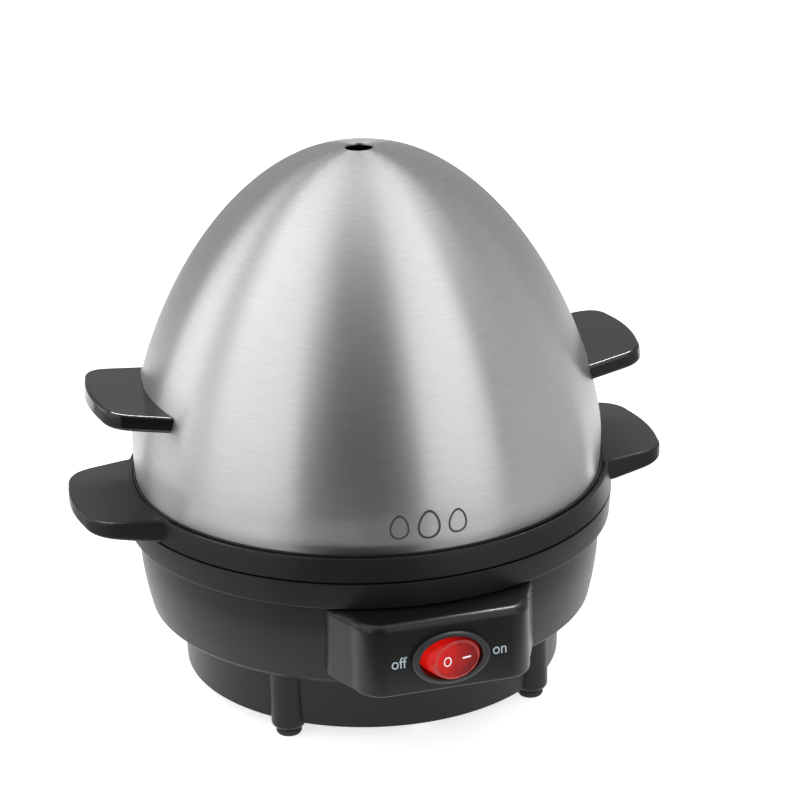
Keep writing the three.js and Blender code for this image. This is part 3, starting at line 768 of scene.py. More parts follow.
@dataclass
class Finishes:
    """Every material of the cooker, made once."""

    steel: Material = field(init=False)
    dish_steel: Material = field(init=False)
    gloss_black: Material = field(init=False)
    satin_black: Material = field(init=False)
    box_black: Material = field(init=False)
    grey: Material = field(init=False)
    lens: Material = field(init=False)
    lens_rim: Material = field(init=False)
    rubber: Material = field(init=False)
    white_ink: Material = field(init=False)
    pale_ink: Material = field(init=False)
    dark_ink: Material = field(init=False)
    screw: Material = field(init=False)
    others: dict[str, Material] = field(init=False)

    def __post_init__(self) -> None:
        """Make the materials."""
        self.steel = BrushedSteel("brushed_steel_dome").material()
        self.dish_steel = BrushedSteel("dish_steel", roughness=0.24, anisotropy=0.5).material()
        self.gloss_black = MouldedPlastic(
            "gloss_black", (0.006, 0.006, 0.0065), roughness=0.12, grain_depth=0.000008).material()
        self.satin_black = MouldedPlastic(
            "satin_black", (0.011, 0.011, 0.0115), roughness=0.33, specular=0.25).material()
        self.box_black = MouldedPlastic(
            "box_black", (0.009, 0.009, 0.0095), roughness=0.29, grain_depth=0.000015,
            specular=0.34).material()
        self.grey = MouldedPlastic("bezel_grey", (0.022, 0.023, 0.025), roughness=0.4).material()
        low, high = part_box("switch_rocker")
        lamp_at = (low.x * 0.76 + high.x * 0.24, low.y + 0.006, (low.z + high.z) / 2 + 0.0018)
        self.lens = Lens("rocker_lens", lamp_at=lamp_at).material()
        self.lens_rim = Lens(
            "rocker_lens_rim", (0.42, 0.05, 0.045), (1.0, 0.06, 0.04), 0.3, 0.25, lamp_at).material()
        self.rubber = MouldedPlastic("rubber", (0.018, 0.018, 0.018), roughness=0.8).material()
        self.white_ink = Ink("white_ink", (0.85, 0.87, 0.9), glow=0.15).material()
        self.pale_ink = Ink("pale_ink", (0.4, 0.48, 0.54)).material()
        self.dark_ink = Ink("dark_ink", (0.04, 0.042, 0.045)).material()
        self.screw = PlainMetal("zinc_screw", (0.55, 0.55, 0.56)).material()
        self.others = {
            "terminal_brass": PlainMetal("brass_strip", (0.72, 0.52, 0.2)).material(),
            "element_aluminium": PlainMetal("element_tube", (0.6, 0.6, 0.61), 0.5).material(),
            "white_ceramic": MouldedPlastic("ceramic", (0.78, 0.75, 0.7), 0.3, 0.05).material(),
            "cream_nylon": MouldedPlastic("nylon", (0.72, 0.69, 0.6), 0.5, 0.05).material(),
            "lamp_glass": Lens(
                "lamp_glass", (0.9, 0.3, 0.1), (1.0, 0.2, 0.05), 1.5, lamp_at=lamp_at).material(),
            "brown_lead": MouldedPlastic("brown_insulation", (0.13, 0.05, 0.02), 0.45).material(),
            "blue_lead": MouldedPlastic("blue_insulation", (0.02, 0.08, 0.3), 0.45).material(),
            "green_lead": MouldedPlastic("green_insulation", (0.1, 0.3, 0.05), 0.45).material(),
        }

    def for_slot(self, slot: str) -> Material:
        """The material that a CAD node wears.

        Args:
            slot: the node's material slot in the record.

        Returns:
            The material.
        """
        known = {
            "satin_black": self.satin_black,
            "grey_plastic": self.grey,
            "rubber_black": self.rubber,
            "screw_steel": self.screw,
            "dish_steel": self.dish_steel,
            "lid_steel": self.steel,
            "gloss_black": self.gloss_black,
            "red_lens": self.lens,
        }
        return known.get(slot) or self.others[slot]


# ---- Shared shapes ----


def tab_outline(root: float, tip: float, half: float, taper: float, bulge: float,
                corner: float) -> list[Pair]:
    """Plan of a handle: straight sides that spread inwards, round corners and a bowed tip.

    Args:
        root: distance of the root from the axis.
        tip: distance of the corners from the axis.
        half: half width at the corners.
        taper: growth of the half width per millimetre inwards.
        bulge: how far the tip bows out past the corners.
        corner: reach of the corner rounding.

    Returns:
        The anticlockwise outline.
    """
    steps = 10
    root_half = half + (tip - root) * taper
    tip_lead = bulge * 0.35
    tip_x = tip + tip_lead
    corner_start = (tip - corner, -(half + corner * taper))
    corner_peak = (tip, -half)
    corner_end = (tip_x, -(half - corner))
    bow_peak = (tip + 2 * bulge - tip_lead, 0.0)
    lower = bezier(corner_start, corner_peak, corner_end, steps)
    bow = bezier(corner_end, bow_peak, (corner_end[0], -corner_end[1]), 2 * steps)[1:-1]
    upper = [(x, -y) for x, y in reversed(lower)]
    side = [(root + (corner_start[0] - root) * t, -(root_half + (half + corner * taper - root_half) * t))
            for t in (0.0, 0.25, 0.5, 0.75)]
    return side + lower + bow + upper + [(x, -y) for x, y in reversed(side)]


def bezier(first: Pair, peak: Pair, last: Pair, steps: int) -> list[Pair]:
    """Points on a curve with one control point, both ends included.

    Args:
        first: the first point.
        peak: the control point.
        last: the last point.
        steps: number of chords.

    Returns:
        The points in order.
    """
    points = []
    for i in range(steps + 1):
        t = i / steps
        u = first[0] * (1 - t) ** 2 + peak[0] * 2 * t * (1 - t) + last[0] * t**2
        v = first[1] * (1 - t) ** 2 + peak[1] * 2 * t * (1 - t) + last[1] * t**2
        points.append((u, v))
    return points


def ring_point(radius: float, degrees: float) -> Pair:
    """The point at a radius and an angle round the cooker's axis."""
    return radius * math.cos(math.radians(degrees)), radius * math.sin(math.radians(degrees))


def panel_matrix(front_y: float, height: float) -> Matrix:
    """From the panel's frame (x right, y up, z out of the front) to the cooker's.

    Args:
        front_y: where the panel's front lies.
        height: height of the panel's origin.

    Returns:
        The matrix.
    """
    return shift(0, front_y, height) @ Matrix.Rotation(math.pi / 2, 4, "X")


def oval(half_x: float, half_y: float, count: int = 96, power: float = 2.0) -> list[Pair]:
    """An anticlockwise oval.

    Args:
        half_x: half its width.
        half_y: half its height.
        count: number of points.
        power: 2 for an ellipse, more for a squarer oval.

    Returns:
        The points in order.
    """
    points = []
    for k in range(count):
        a = 2 * math.pi * k / count
        c, s = math.cos(a), math.sin(a)
        x = half_x * math.copysign(abs(c) ** (2 / power), c)
        y = half_y * math.copysign(abs(s) ** (2 / power), s)
        points.append((x, y))
    return points


@dataclass(frozen=True)
class PanScrew:
    """A cross-recessed pan-head screw that points down from its head's seat at z = 0."""

    head_radius: float = 3.0
    head_height: float = 2.0
    shank_radius: float = 1.5
    length: float = 10.0
    pitch: float = 0.9
    crown: float = 2.2
    recess_half: float = 0.42
    recess_depth: float = 1.0

    def build(self, name: str) -> Obj:
        """Make the screw.

        Args:
            name: the piece's name.

        Returns:
            The screw, with its seat at the origin.
        """
        r, h, s = self.head_radius, self.head_height, self.shank_radius
        crown_radius = self.crown * r
        crown_start = math.degrees(math.acos(0.44))
        profile: list[Pair] = [(0, -self.length), (s * 0.35, -self.length + 0.3)]
        turns = int((self.length - 1.5) / self.pitch)
        for i in range(turns):
            z = -self.length + 1.0 + i * self.pitch
            profile.extend([(s * 0.78, z), (s, z + self.pitch / 2)])
        profile.extend([(s * 0.8, -0.3), (s * 0.8, 0), (r * 0.97, 0), (r, 0.25)])
        profile.extend(arc((0, h - crown_radius), crown_radius, crown_start, 90, 6)[:-1])
        profile.append((0, h))
        screw = revolve(name, profile, SCREW_STEPS)
        half, w = r * 0.55, self.recess_half
        for turn in (0, 1):
            slot = loft("slot", [(-half, -w), (half, -w), (half, w), (-half, w)],
                        [(h - self.recess_depth, 0.12), (h + 1, 0)])
            move(slot, Matrix.Rotation(math.pi / 2 * turn, 4, "Z"))
            combine(screw, slot, Cut.REMOVE)
        return soften(screw)


# ---- Lid ----


@dataclass
class Lid:
    """Steel dome with a steam hole, two black handles, their screws and a printed mark."""

    finishes: Finishes
    rim_radius: float = 77.5
    bulge_radius: float = 78.3
    rim_height: float = 14.3
    dome_height: float = 98.8
    fullness: float = 1.313
    crown_drop: float = 1.3
    crown_radius: float = 13.0
    wall: float = 0.9
    hole_radius: float = 4.9
    handle_top: float = 107.2
    handle_ref: float = 80.0
    handle_thick: float = 5.6
    handle_tilt: float = 8.0
    screw_out: float = 70.0
    screw_spread: float = 13.0
    screw_up: float = 102.4
    mark_height: float = 11.6
    mark_proud: float = 0.05
    rim_z: float = field(init=False)

    def __post_init__(self) -> None:
        """Read the rim's height from the frame."""
        low, _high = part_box("lid_dome")
        self.rim_z = low.z / MM

    def curve(self, inset: float, steps: int = 90) -> list[Pair]:
        """Outside of the dome from rim to steam hole, moved in by an inset.

        Args:
            inset: distance inwards.
            steps: chords of the dome.

        Returns:
            (radius, height) points.
        """
        spring = self.rim_z + self.rim_height
        middle = (self.rim_radius + self.bulge_radius) / 2 + 0.2
        points = bezier((self.rim_radius - inset, self.rim_z), (middle + 0.1 - inset, self.rim_z + 7),
                        (self.bulge_radius - inset, spring), 10)[:-1]
        end = math.acos(self.hole_radius / (self.bulge_radius - inset))
        for i in range(steps + 1):
            turn = end * (i / steps)
            radius = (self.bulge_radius - inset) * math.cos(turn)
            drop = self.crown_drop * math.exp(-((radius / self.crown_radius) ** 2))
            height = (self.dome_height - inset) * math.sin(turn) ** self.fullness - drop
            points.append((radius, spring + height))
        return points

    def shell(self) -> Obj:
        """The dome with a rolled rim and a softened steam hole.

        Returns:
            The dome.
        """
        outer = self.curve(0)
        inner = list(reversed(self.curve(self.wall)))
        hole_top = outer[-1]
        lip = [(self.hole_radius - 0.25, hole_top[1] - 0.1), (self.hole_radius - 0.35, hole_top[1] - 0.45),
               (self.hole_radius - 0.25, hole_top[1] - 0.8)]
        mid = self.rim_radius - self.wall / 2
        bead = [(mid + 0.45 * math.cos(a), self.rim_z + 0.05 + 0.45 * (1 + math.sin(a)) / 2)
                for a in (math.radians(d) for d in (200, 230, 270, 310, 340))]
        shell = revolve("lid_shell", outer + lip + inner[1:-1] + bead, DOME_STEPS)
        soften(shell)
        return place(dress(shell, self.finishes.steel), Body.LID, "lid_steel", "lid_dome")

    def envelope(self, clearance: float) -> Obj:
        """A solid dome a little larger than the shell, for cutting the handles.

        Args:
            clearance: distance outside the shell.

        Returns:
            The solid.
        """
        above_crown = self.rim_z + 121
        profile = [(0.0, self.rim_z), *self.curve(-clearance, 60), (0.0, above_crown)]
        return revolve("dome_envelope", profile, DISH_STEPS)

    def handle(self, side: int, name: str, node: str) -> Obj:
        """One glossy handle, cut to lie against the dome.

        Args:
            side: 1 for the right, -1 for the left.
            name: the piece's name.
            node: the CAD node that it stands for.

        Returns:
            The handle.
        """
        outline = tab_outline(root=66, tip=90.6, half=22, taper=0.145, bulge=2.4, corner=8)
        slab = loft(name, outline, edge_levels(-self.handle_thick, 0, 1.6, 1.1))
        move(slab, shift(-self.handle_ref, 0, 0))
        move(slab, Matrix.Rotation(math.radians(-self.handle_tilt), 4, "Y"))
        move(slab, shift(self.handle_ref, 0, self.handle_top))
        combine(slab, self.envelope(0.12), Cut.REMOVE)
        if side < 0:
            move(slab, Matrix.Rotation(math.pi, 4, "Z"))
        soften(slab)
        return place(dress(slab, self.finishes.gloss_black), Body.LID, "gloss_black", node)

    def screws(self) -> None:
        """The screws that hold the handles, in place of the plain ones."""
        number = 1
        tilt = math.radians(self.handle_tilt)
        for side in (-1, 1):
            for y in (-self.screw_spread, self.screw_spread):
                screw = PanScrew(length=10).build(f"lid_screw_{number}")
                turn = Matrix.Rotation(-side * (math.pi / 2 + tilt), 4, "Y")
                move(screw, shift(side * self.screw_out, y, self.screw_up) @ turn)
                node = f"lid_handle_screw_{number}"
                place(dress(screw, self.finishes.screw), Body.LID, "screw_steel", node)
                number += 1

    def mark(self) -> Obj:
        """Three plain egg outlines printed low on the front of the dome.

        Returns:
            The mark.
        """
        verts: list[Triple] = []
        faces: list[list[int]] = []
        count = 40
        eggs = ((-11.6, 0.84), (-2.2, 1.0), (7.2, 0.84))
        outer_and_inner = ((3.7, 4.9), (2.95, 4.1))
        for centre, size in eggs:
            first = len(verts)
            for k in range(count):
                a = 2 * math.pi * k / count
                for half_w, half_h in outer_and_inner:
                    up = math.sin(a)
                    along = centre + size * half_w * math.cos(a) * (1 - 0.13 * up)
                    high = self.mark_height + size * half_h * up * (1 + 0.08 * up)
                    verts.append(self.on_dome(along, high))
            for k in range(count):
                n2 = (k + 1) % count
                faces.append([first + 2 * k, first + 2 * k + 1, first + 2 * n2 + 1, first + 2 * n2])
        mark = mesh_object("printed_eggs", verts, faces)
        thick = mark.modifiers.new("ink", "SOLIDIFY")
        thick.thickness = self.mark_proud * MM
        thick.offset = 0
        apply_modifiers(mark)
        return place(dress(mark, self.finishes.dark_ink), Body.LID, "satin_black")

    def on_dome(self, along: float, up: float) -> Triple:
        """A point just proud of the front of the dome.

        Args:
            along: distance round the dome from its front, to the right.
            up: height above the rim.

        Returns:
            The point, in millimetres.
        """
        height = self.rim_z + up
        points = self.curve(0)
        radius = points[0][0]
        for low, high in zip(points, points[1:]):
            if low[1] <= height <= high[1]:
                radius = low[0] + (high[0] - low[0]) * (height - low[1]) / (high[1] - low[1])
        angle = along / radius - math.pi / 2
        radius += self.mark_proud
        return radius * math.cos(angle), radius * math.sin(angle), height

    def build(self) -> None:
        """Build and place the whole lid."""
        self.shell()
        self.handle(-1, "left_lid_handle", "lid_handle_left")
        self.handle(1, "right_lid_handle", "lid_handle_right")
        self.screws()
        self.mark()


# ---- Egg tray ----


@dataclass
class EggTray:
    """The lift-out tray: a ring with a groove for the lid, seven egg holes and two handles."""

    finishes: Finishes
    seam_z: float = 64.7
    floor_z: float = 67.0
    seat_z: float = 69.2
    lip_z: float = 72.6
    band_radius: float = 81.6
    floor_thick: float = 2.4
    hole_radius: float = 17.0
    pitch_radius: float = 47.0
    handle_top: float = 72.2
    handle_inner: float = 79.0
    handle_slope: float = 0.12
    skirt_z: float = 61.6
    guide_z: float = 70.6

    def ring(self) -> Obj:
        """Floor, skirt, groove and rolled lip in one turn.

        Returns:
            The ring, without its holes and handles.
        """
        low = self.floor_z - self.floor_thick
        band = self.band_radius
        rise = [
            (75.0, low, 1.0), (75.2, self.skirt_z, 0.3), (77.0, self.skirt_z, 0.3),
            (77.2, self.seam_z, 0.2), (band + 0.3, self.seam_z, 0.35), (band - 0.55, 70.4, 1.6),
            (band - 0.9, self.lip_z - 0.25, 0.9), (band - 2.0, self.lip_z - 0.25, 0.6),
            (band - 2.25, self.lip_z - 1.2, 0.2), (78.85, self.lip_z - 1.2, 0.2),
            (78.65, self.lip_z, 0.3), (77.95, self.lip_z, 0.2), (77.9, self.seat_z, 0.3),
            (75.9, self.seat_z, 0.2), (75.6, self.guide_z, 0.3), (74.6, self.guide_z, 0.3),
            (73.6, self.floor_z, 1.2),
        ]
        path = fillet([(0.0, low, 0.0), *rise, (0.0, self.floor_z, 0.0)], 3)
        return revolve("tray", path, BODY_STEPS)

    def handle(self, side: int) -> Obj:
        """One side handle, as deep as the ring at its root and thinner at its tip.

        Args:
            side: 1 for the right, -1 for the left.

        Returns:
            The handle, cut off where the ring's wall takes over.
        """
        outline = tab_outline(root=68, tip=98.4, half=22.8, taper=0.24, bulge=2.4, corner=9)
        slab = loft("slab", outline, edge_levels(self.seam_z, self.handle_top, 1.3, 1.1))
        middle = (self.seam_z + self.handle_top) / 2 * MM
        for vert in slab.data.vertices:
            if vert.co.z < middle:
                vert.co.z += max(0.0, vert.co.x - self.handle_inner * MM) * self.handle_slope
        low, high = 50, 80
        corners = [(0, low), (self.handle_inner, low), (self.handle_inner, high), (0, high)]
        inside = revolve("inside", corners, BODY_STEPS)
        combine(slab, inside, Cut.REMOVE)
        if side < 0:
            move(slab, Matrix.Rotation(math.pi, 4, "Z"))
        return slab

    def build(self) -> None:
        """Build and place the tray."""
        tray = self.ring()
        for side in (-1, 1):
            combine(tray, self.handle(side), Cut.JOIN)
        centres = [(0.0, 0.0)]
        centres += [ring_point(self.pitch_radius, 30 + 60 * i) for i in range(6)]
        wide = self.hole_radius + 0.8
        low, high = 60, 69
        profile = [(0, low), (self.hole_radius, low), (self.hole_radius, self.floor_z - 0.8),
                   (wide, self.floor_z + 0.1), (wide, high), (0, high)]
        for x, y in centres:
            hole = revolve("hole", profile, BOSS_STEPS)
            move(hole, shift(x, y, 0))
            combine(tray, hole, Cut.REMOVE)
        soften(tray)
        place(dress(tray, self.finishes.satin_black), Body.TRAY, "satin_black", "egg_tray")


# ---- Base ----


@dataclass
class Base:
    """Band, bowl and plinth with foot posts, rubber pads, the cord outlet and the cover's screws."""

    finishes: Finishes
    plinth_radius: float = 63.9
    bowl_low_radius: float = 74.6
    bowl_high_radius: float = 77.8
    band_radius: float = 81.6
    wall: float = 2.4
    seam_z: float = 64.1
    band_z: float = 55.4
    bowl_z: float = 27.4
    plinth_z: float = 4.8
    ledge_z: float = 58.0
    ledge_radius: float = 63.0
    post_ring: float = 62.2
    post_radius: float = 5.7
    post_angle: float = 42.0
    cord_z: float = 38.0
    outlet_y: float = 86.0
    boss_ring: float = 57.2
    cord_radius: float = 3.5
    cord_bore: float = 6.3
    dip_z: float = 27.6
    window_half: float = 20.0
    window_levels: Pair = (32.5, 52.3)
    cover_screw_z: float = 4.9

    def outside(self, clearance: float = 0.0) -> list[Triple]:
        """Corners of the outside from the plinth up, with their rounding.

        Args:
            clearance: distance to move them outwards.

        Returns:
            (radius, height, rounding) of each corner.
        """
        c = clearance
        return [
            (self.plinth_radius - 0.3 + c, self.plinth_z, 0.5),
            (self.plinth_radius + 0.4 + c, 25.0, 1.0),
            (self.bowl_low_radius - 2.4 + c, 25.2, 1.2),
            (self.bowl_low_radius + c, self.bowl_z, 0.9),
            (self.bowl_low_radius + 1.5 + c, 34.0, 85.0),
            (self.bowl_low_radius + 2.8 + c, 43.0, 85.0),
            (self.bowl_high_radius + c, self.band_z - c, 0.3),
            (self.band_radius - 0.4 + c, self.band_z - c, 0.6),
            (self.band_radius + 0.25 + c, self.seam_z, 0.3),
        ]

    def shell(self) -> Obj:
        """The moulded shell, turned, with its posts and openings.

        Returns:
            The shell.
        """
        w = self.wall
        inside = [
            (77.6, self.seam_z, 0.3),
            (77.6, self.ledge_z, 0.6),
            (self.ledge_radius, self.ledge_z, 0.4),
            (self.ledge_radius, self.ledge_z - w, 0.3),
            (self.bowl_high_radius - w, self.ledge_z - w, 0.5),
            (self.bowl_low_radius + 2.8 - w, 43.0, 2.0),
            (self.bowl_low_radius - w, 28.4, 0.5),
            (self.bowl_low_radius - w - 1, self.dip_z, 0.3),
            (self.plinth_radius - w, self.dip_z, 0.5),
            (self.plinth_radius - w, self.plinth_z, 0.0),
        ]
        path = fillet([*self.outside(), *inside], 7)
        shell = revolve("base_shell", path, BODY_STEPS)
        for x, y in self.post_places():
            combine(shell, self.post(x, y), Cut.JOIN)
        combine(shell, self.outlet(), Cut.JOIN)
        bore_from, bore_to = 60, 92
        corners = [(0, bore_from), (self.cord_bore, bore_from), (self.cord_bore, bore_to), (0, bore_to)]
        bore = move(revolve("bore", corners, POST_STEPS), self.outlet_matrix())
        combine(shell, bore, Cut.REMOVE)
        half, front, back = self.window_half, -80, -60
        window_plan = [(-half, front), (half, front), (half, back), (-half, back)]
        window = loft("window", window_plan, [(z, 0) for z in self.window_levels])
        combine(shell, window, Cut.REMOVE)
        soften(shell)
        return place(dress(shell, self.finishes.satin_black), Body.BASE, "satin_black", "base_housing")

    def post_places(self) -> list[Pair]:
        """Centres of the four foot posts, front left first."""
        a = self.post_angle
        return [ring_point(self.post_ring, turn) for turn in (-90 - a, -90 + a, 90 - a, 90 + a)]

    def post(self, x: float, y: float) -> Obj:
        """One foot post with a domed end.

        Args:
            x: its centre, to the right.
            y: its centre, to the back.

        Returns:
            The post.
        """
        r, low, high, edge = self.post_radius, 2.5, 26.2, 2.0
        domed_end = arc((r - edge, low + edge), edge, -90, 0, 6)
        profile = [(0, low), *domed_end, (r, high), (0, high)]
        return move(revolve("post", profile, POST_STEPS), shift(x, y, 0))

    def outlet_matrix(self) -> Matrix:
        """From the cord outlet's frame, with z out of the back, to the cooker's."""
        return shift(0, 0, self.cord_z) @ Matrix.Rotation(-math.pi / 2, 4, "X")

    def outlet(self) -> Obj:
        """The round boss on the back that the cord comes out of.

        Returns:
            The boss.
        """
        y = self.outlet_y
        path = fillet([(0, 73.5, 0), (13.6, 73.5, 0), (13, 76, 0.5), (11.6, y - 1, 0.8),
                       (10.6, y, 0.6), (0, y, 0)], 3)
        return move(revolve("outlet", path, BOSS_STEPS), self.outlet_matrix())

    def pads(self) -> None:
        """Rubber pads under the posts, each with a stem in its post."""
        names = ("front_left", "front_right", "back_right", "back_left")
        pad_radius, pad_height, stem_radius, stem_height = 4.2, 2.2, 2, 8.5
        path = fillet([
            (0, 0, 0), (pad_radius - 0.5, 0, 0), (pad_radius, 0.7, 0.5), (pad_radius, pad_height, 0.2),
            (stem_radius, pad_height, 0), (stem_radius, stem_height, 0), (0, stem_height, 0)], 4)
        for name, (x, y) in zip(names, self.post_places()):
            pad = revolve(f"pad_{name}", path, POST_STEPS)
            move(pad, shift(x, y, 0))
            soften(pad)
            place(dress(pad, self.finishes.rubber), Body.BASE, "rubber_black", f"foot_pad_{name}")

    def gland(self) -> Obj:
        """The ribbed bush in the cord outlet.

        Returns:
            The bush.
        """
        y = self.outlet_y
        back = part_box("cord_gland")[1].y / MM
        path = fillet([
            (self.cord_radius, 66.5, 0.3), (7.6, 66.5, 0.4), (7.6, 70.4, 0.3), (6.0, 70.4, 0),
            (6.0, y + 0.3, 0), (9.0, y + 0.3, 0.4), (9.0, y + 2.8, 0.6), (6.9, y + 3.6, 0.4),
            (6.5, y + 5, 0.2), (6.9, y + 5.4, 0.2), (6.6, y + 6.6, 0.2), (6.1, y + 6.9, 0.2),
            (6.4, y + 7.4, 0.2), (6.0, back - 1, 0.3), (5.4, back, 0.4),
            (self.cord_radius + 0.2, back, 0.3), (self.cord_radius, back - 0.4, 0)], 3)
        bush = move(revolve("cord_bush", path, BOSS_STEPS), self.outlet_matrix())
        soften(bush)
        return place(dress(bush, self.finishes.rubber), Body.BASE, "rubber_black", "cord_gland")

    def cover_screws(self) -> None:
        """The screws of the bottom cover."""
        upside_down = Matrix.Rotation(math.pi, 4, "X")
        for i in range(4):
            screw = PanScrew(head_radius=3.2, head_height=1.9, length=11).build(f"cover_screw_{i + 1}")
            x, y = ring_point(self.boss_ring, 90 * i)
            move(screw, shift(x, y, self.cover_screw_z) @ upside_down)
            place(dress(screw, self.finishes.screw), Body.BASE, "screw_steel", f"bottom_screw_{i + 1}")

    def build(self) -> None:
        """Build and place the base."""
        self.shell()
        self.pads()
        self.gland()
        self.cover_screws()


@dataclass
class WaterDish:
    """The heated steel dish that holds the water."""

    finishes: Finishes
    flange_radius: float = 76.8
    flange_z: float = 59.6
    floor_radius: float = 57.0
    floor_z: float = 50.6
    wall: float = 1.0

    def build(self) -> None:
        """Build and place the dish."""
        w = self.wall
        top = [(0, self.floor_z, 0), (18, self.floor_z, 2), (20, self.floor_z + 0.35, 2),
               (22, self.floor_z, 2), (self.floor_radius - 2.4, self.floor_z, 4),
               (62, self.flange_z - 1.4, 2), (63, self.flange_z + w, 1.2),
               (self.flange_radius, self.flange_z + w, 0.3)]
        bottom = [(self.flange_radius, self.flange_z, 0.3), (63.4, self.flange_z, 1.0),
                  (62.6, self.flange_z - 1.9, 1.5), (self.floor_radius - 1.9, self.floor_z - w, 3),
                  (0, self.floor_z - w, 0)]
        path = fillet([*top, *bottom], 5)
        dish = revolve("water_dish", list(reversed(path)), DISH_STEPS)
        soften(dish)
        place(dress(dish, self.finishes.dish_steel), Body.BASE, "dish_steel", "heating_plate")


# ---- Control box and switch ----


@dataclass
class ControlBox:
    """The moulded box on the front with its printed words."""

    finishes: Finishes
    base: Base
    low_z: float = 30.6
    high_z: float = 54.9
    wall: float = 2.2
    front_half: float = 20.0
    corner_half: float = 29.0
    root_half: float = 34.0
    letter_size: float = 5.4
    letter_width: float = 0.86
    ink_thick: float = 0.03
    ink_proud: float = 0.04
    front_y: float = field(init=False)
    switch_z: float = field(init=False)

    def __post_init__(self) -> None:
        """Read the panel's and the switch's places from the frame."""
        self.front_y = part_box("control_box")[0].y / MM
        low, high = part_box("switch_bezel")
        self.switch_z = (low.z + high.z) / 2 / MM

    def outline(self) -> list[Pair]:
        """Anticlockwise plan: flat front, round corners and flanks that spread back.

        Returns:
            The points in order.
        """
        f, c, r = self.front_half, self.corner_half, self.root_half
        y = self.front_y
        flank = bezier((r, -71), (c + 2, -78), (c, y + 9), 8)
        corner = self.corner_curve((c, y + 9), (c - 1, y + 3), (f + 4, y), (f, y), 14)[1:]
        half = [(r + 1, -60), *flank, *corner]
        left = [(-x, v) for x, v in half]
        front = [(f - 2 * f * k / 12, y) for k in range(1, 12)]
        return list(reversed([*half, *front, *reversed(left)]))

    @staticmethod
    def corner_curve(a: Pair, b: Pair, c: Pair, d: Pair, steps: int) -> list[Pair]:
        """Points on a curve with two control points, both ends included.

        Args:
            a: the first point.
            b: the first control point.
            c: the second control point.
            d: the last point.
            steps: number of chords.

        Returns:
            The points in order.
        """
        points = []
        for i in range(steps + 1):
            t = i / steps
            w = ((1 - t) ** 3, 3 * t * (1 - t) ** 2, 3 * t**2 * (1 - t), t**3)
            points.append((sum(k * p[0] for k, p in zip(w, (a, b, c, d))),
                           sum(k * p[1] for k, p in zip(w, (a, b, c, d)))))
        return points

    def shell(self) -> Obj:
        """The box, hollow, cut to the bowl and open for the switch.

        Returns:
            The box.
        """
        plan = self.outline()
        if sum(plan[i - 1][0] * p[1] - p[0] * plan[i - 1][1] for i, p in enumerate(plan)) < 0:
            plan.reverse()
        box = loft("switch_box", plan, edge_levels(self.low_z, self.high_z, 0.9, 2.6))
        hollow = loft("hollow", inset_outline(plan, self.wall),
                      [(self.low_z + self.wall, 0), (self.high_z - self.wall, 0)])
        combine(box, hollow, Cut.REMOVE)
        corners = self.base.outside(0.1)
        path = fillet([(0, 0, 0), *corners, (0, self.base.seam_z, 0)], 4)
        envelope = revolve("bowl", path, BODY_STEPS)
        combine(box, envelope, Cut.REMOVE)
        hole = loft("hole", oval(11.2, 8.1, 64), [(-4, 0), (4, 0)])
        move(hole, panel_matrix(self.front_y, self.switch_z))
        combine(box, hole, Cut.REMOVE)
        soften(box)
        return place(dress(box, self.finishes.box_black), Body.BASE, "satin_black", "control_box")

    def word(self, text: str, centre_x: float) -> Obj:
        """A short printed word on the panel.

        Args:
            text: the word.
            centre_x: its middle, to the right of the switch.

        Returns:
            The piece.
        """
        curve = bpy.data.curves.new(f"word_{text}", "FONT")
        curve.body = text
        curve.size = self.letter_size * MM
        curve.align_x = "CENTER"
        curve.align_y = "CENTER"
        curve.extrude = self.ink_thick * MM
        maker = bpy.data.objects.new("maker", curve)
        bpy.context.scene.collection.objects.link(maker)
        graph = bpy.context.evaluated_depsgraph_get()
        mesh = bpy.data.meshes.new_from_object(maker.evaluated_get(graph), depsgraph=graph)
        bpy.data.objects.remove(maker)
        word = bpy.data.objects.new(f"word_{text}", mesh)
        bpy.context.scene.collection.objects.link(word)
        narrow = Matrix.Diagonal((self.letter_width, 1.0, 1.0, 1.0))
        on_panel = panel_matrix(self.front_y, self.switch_z) @ shift(centre_x, 0, self.ink_proud)
        move(word, on_panel @ narrow)
        return place(dress(word, self.finishes.pale_ink), Body.BASE, "white_ceramic")

    def build(self) -> None:
        """Build and place the box."""
        self.shell()
        self.word("off", -16.7)
        self.word("on", 16.2)


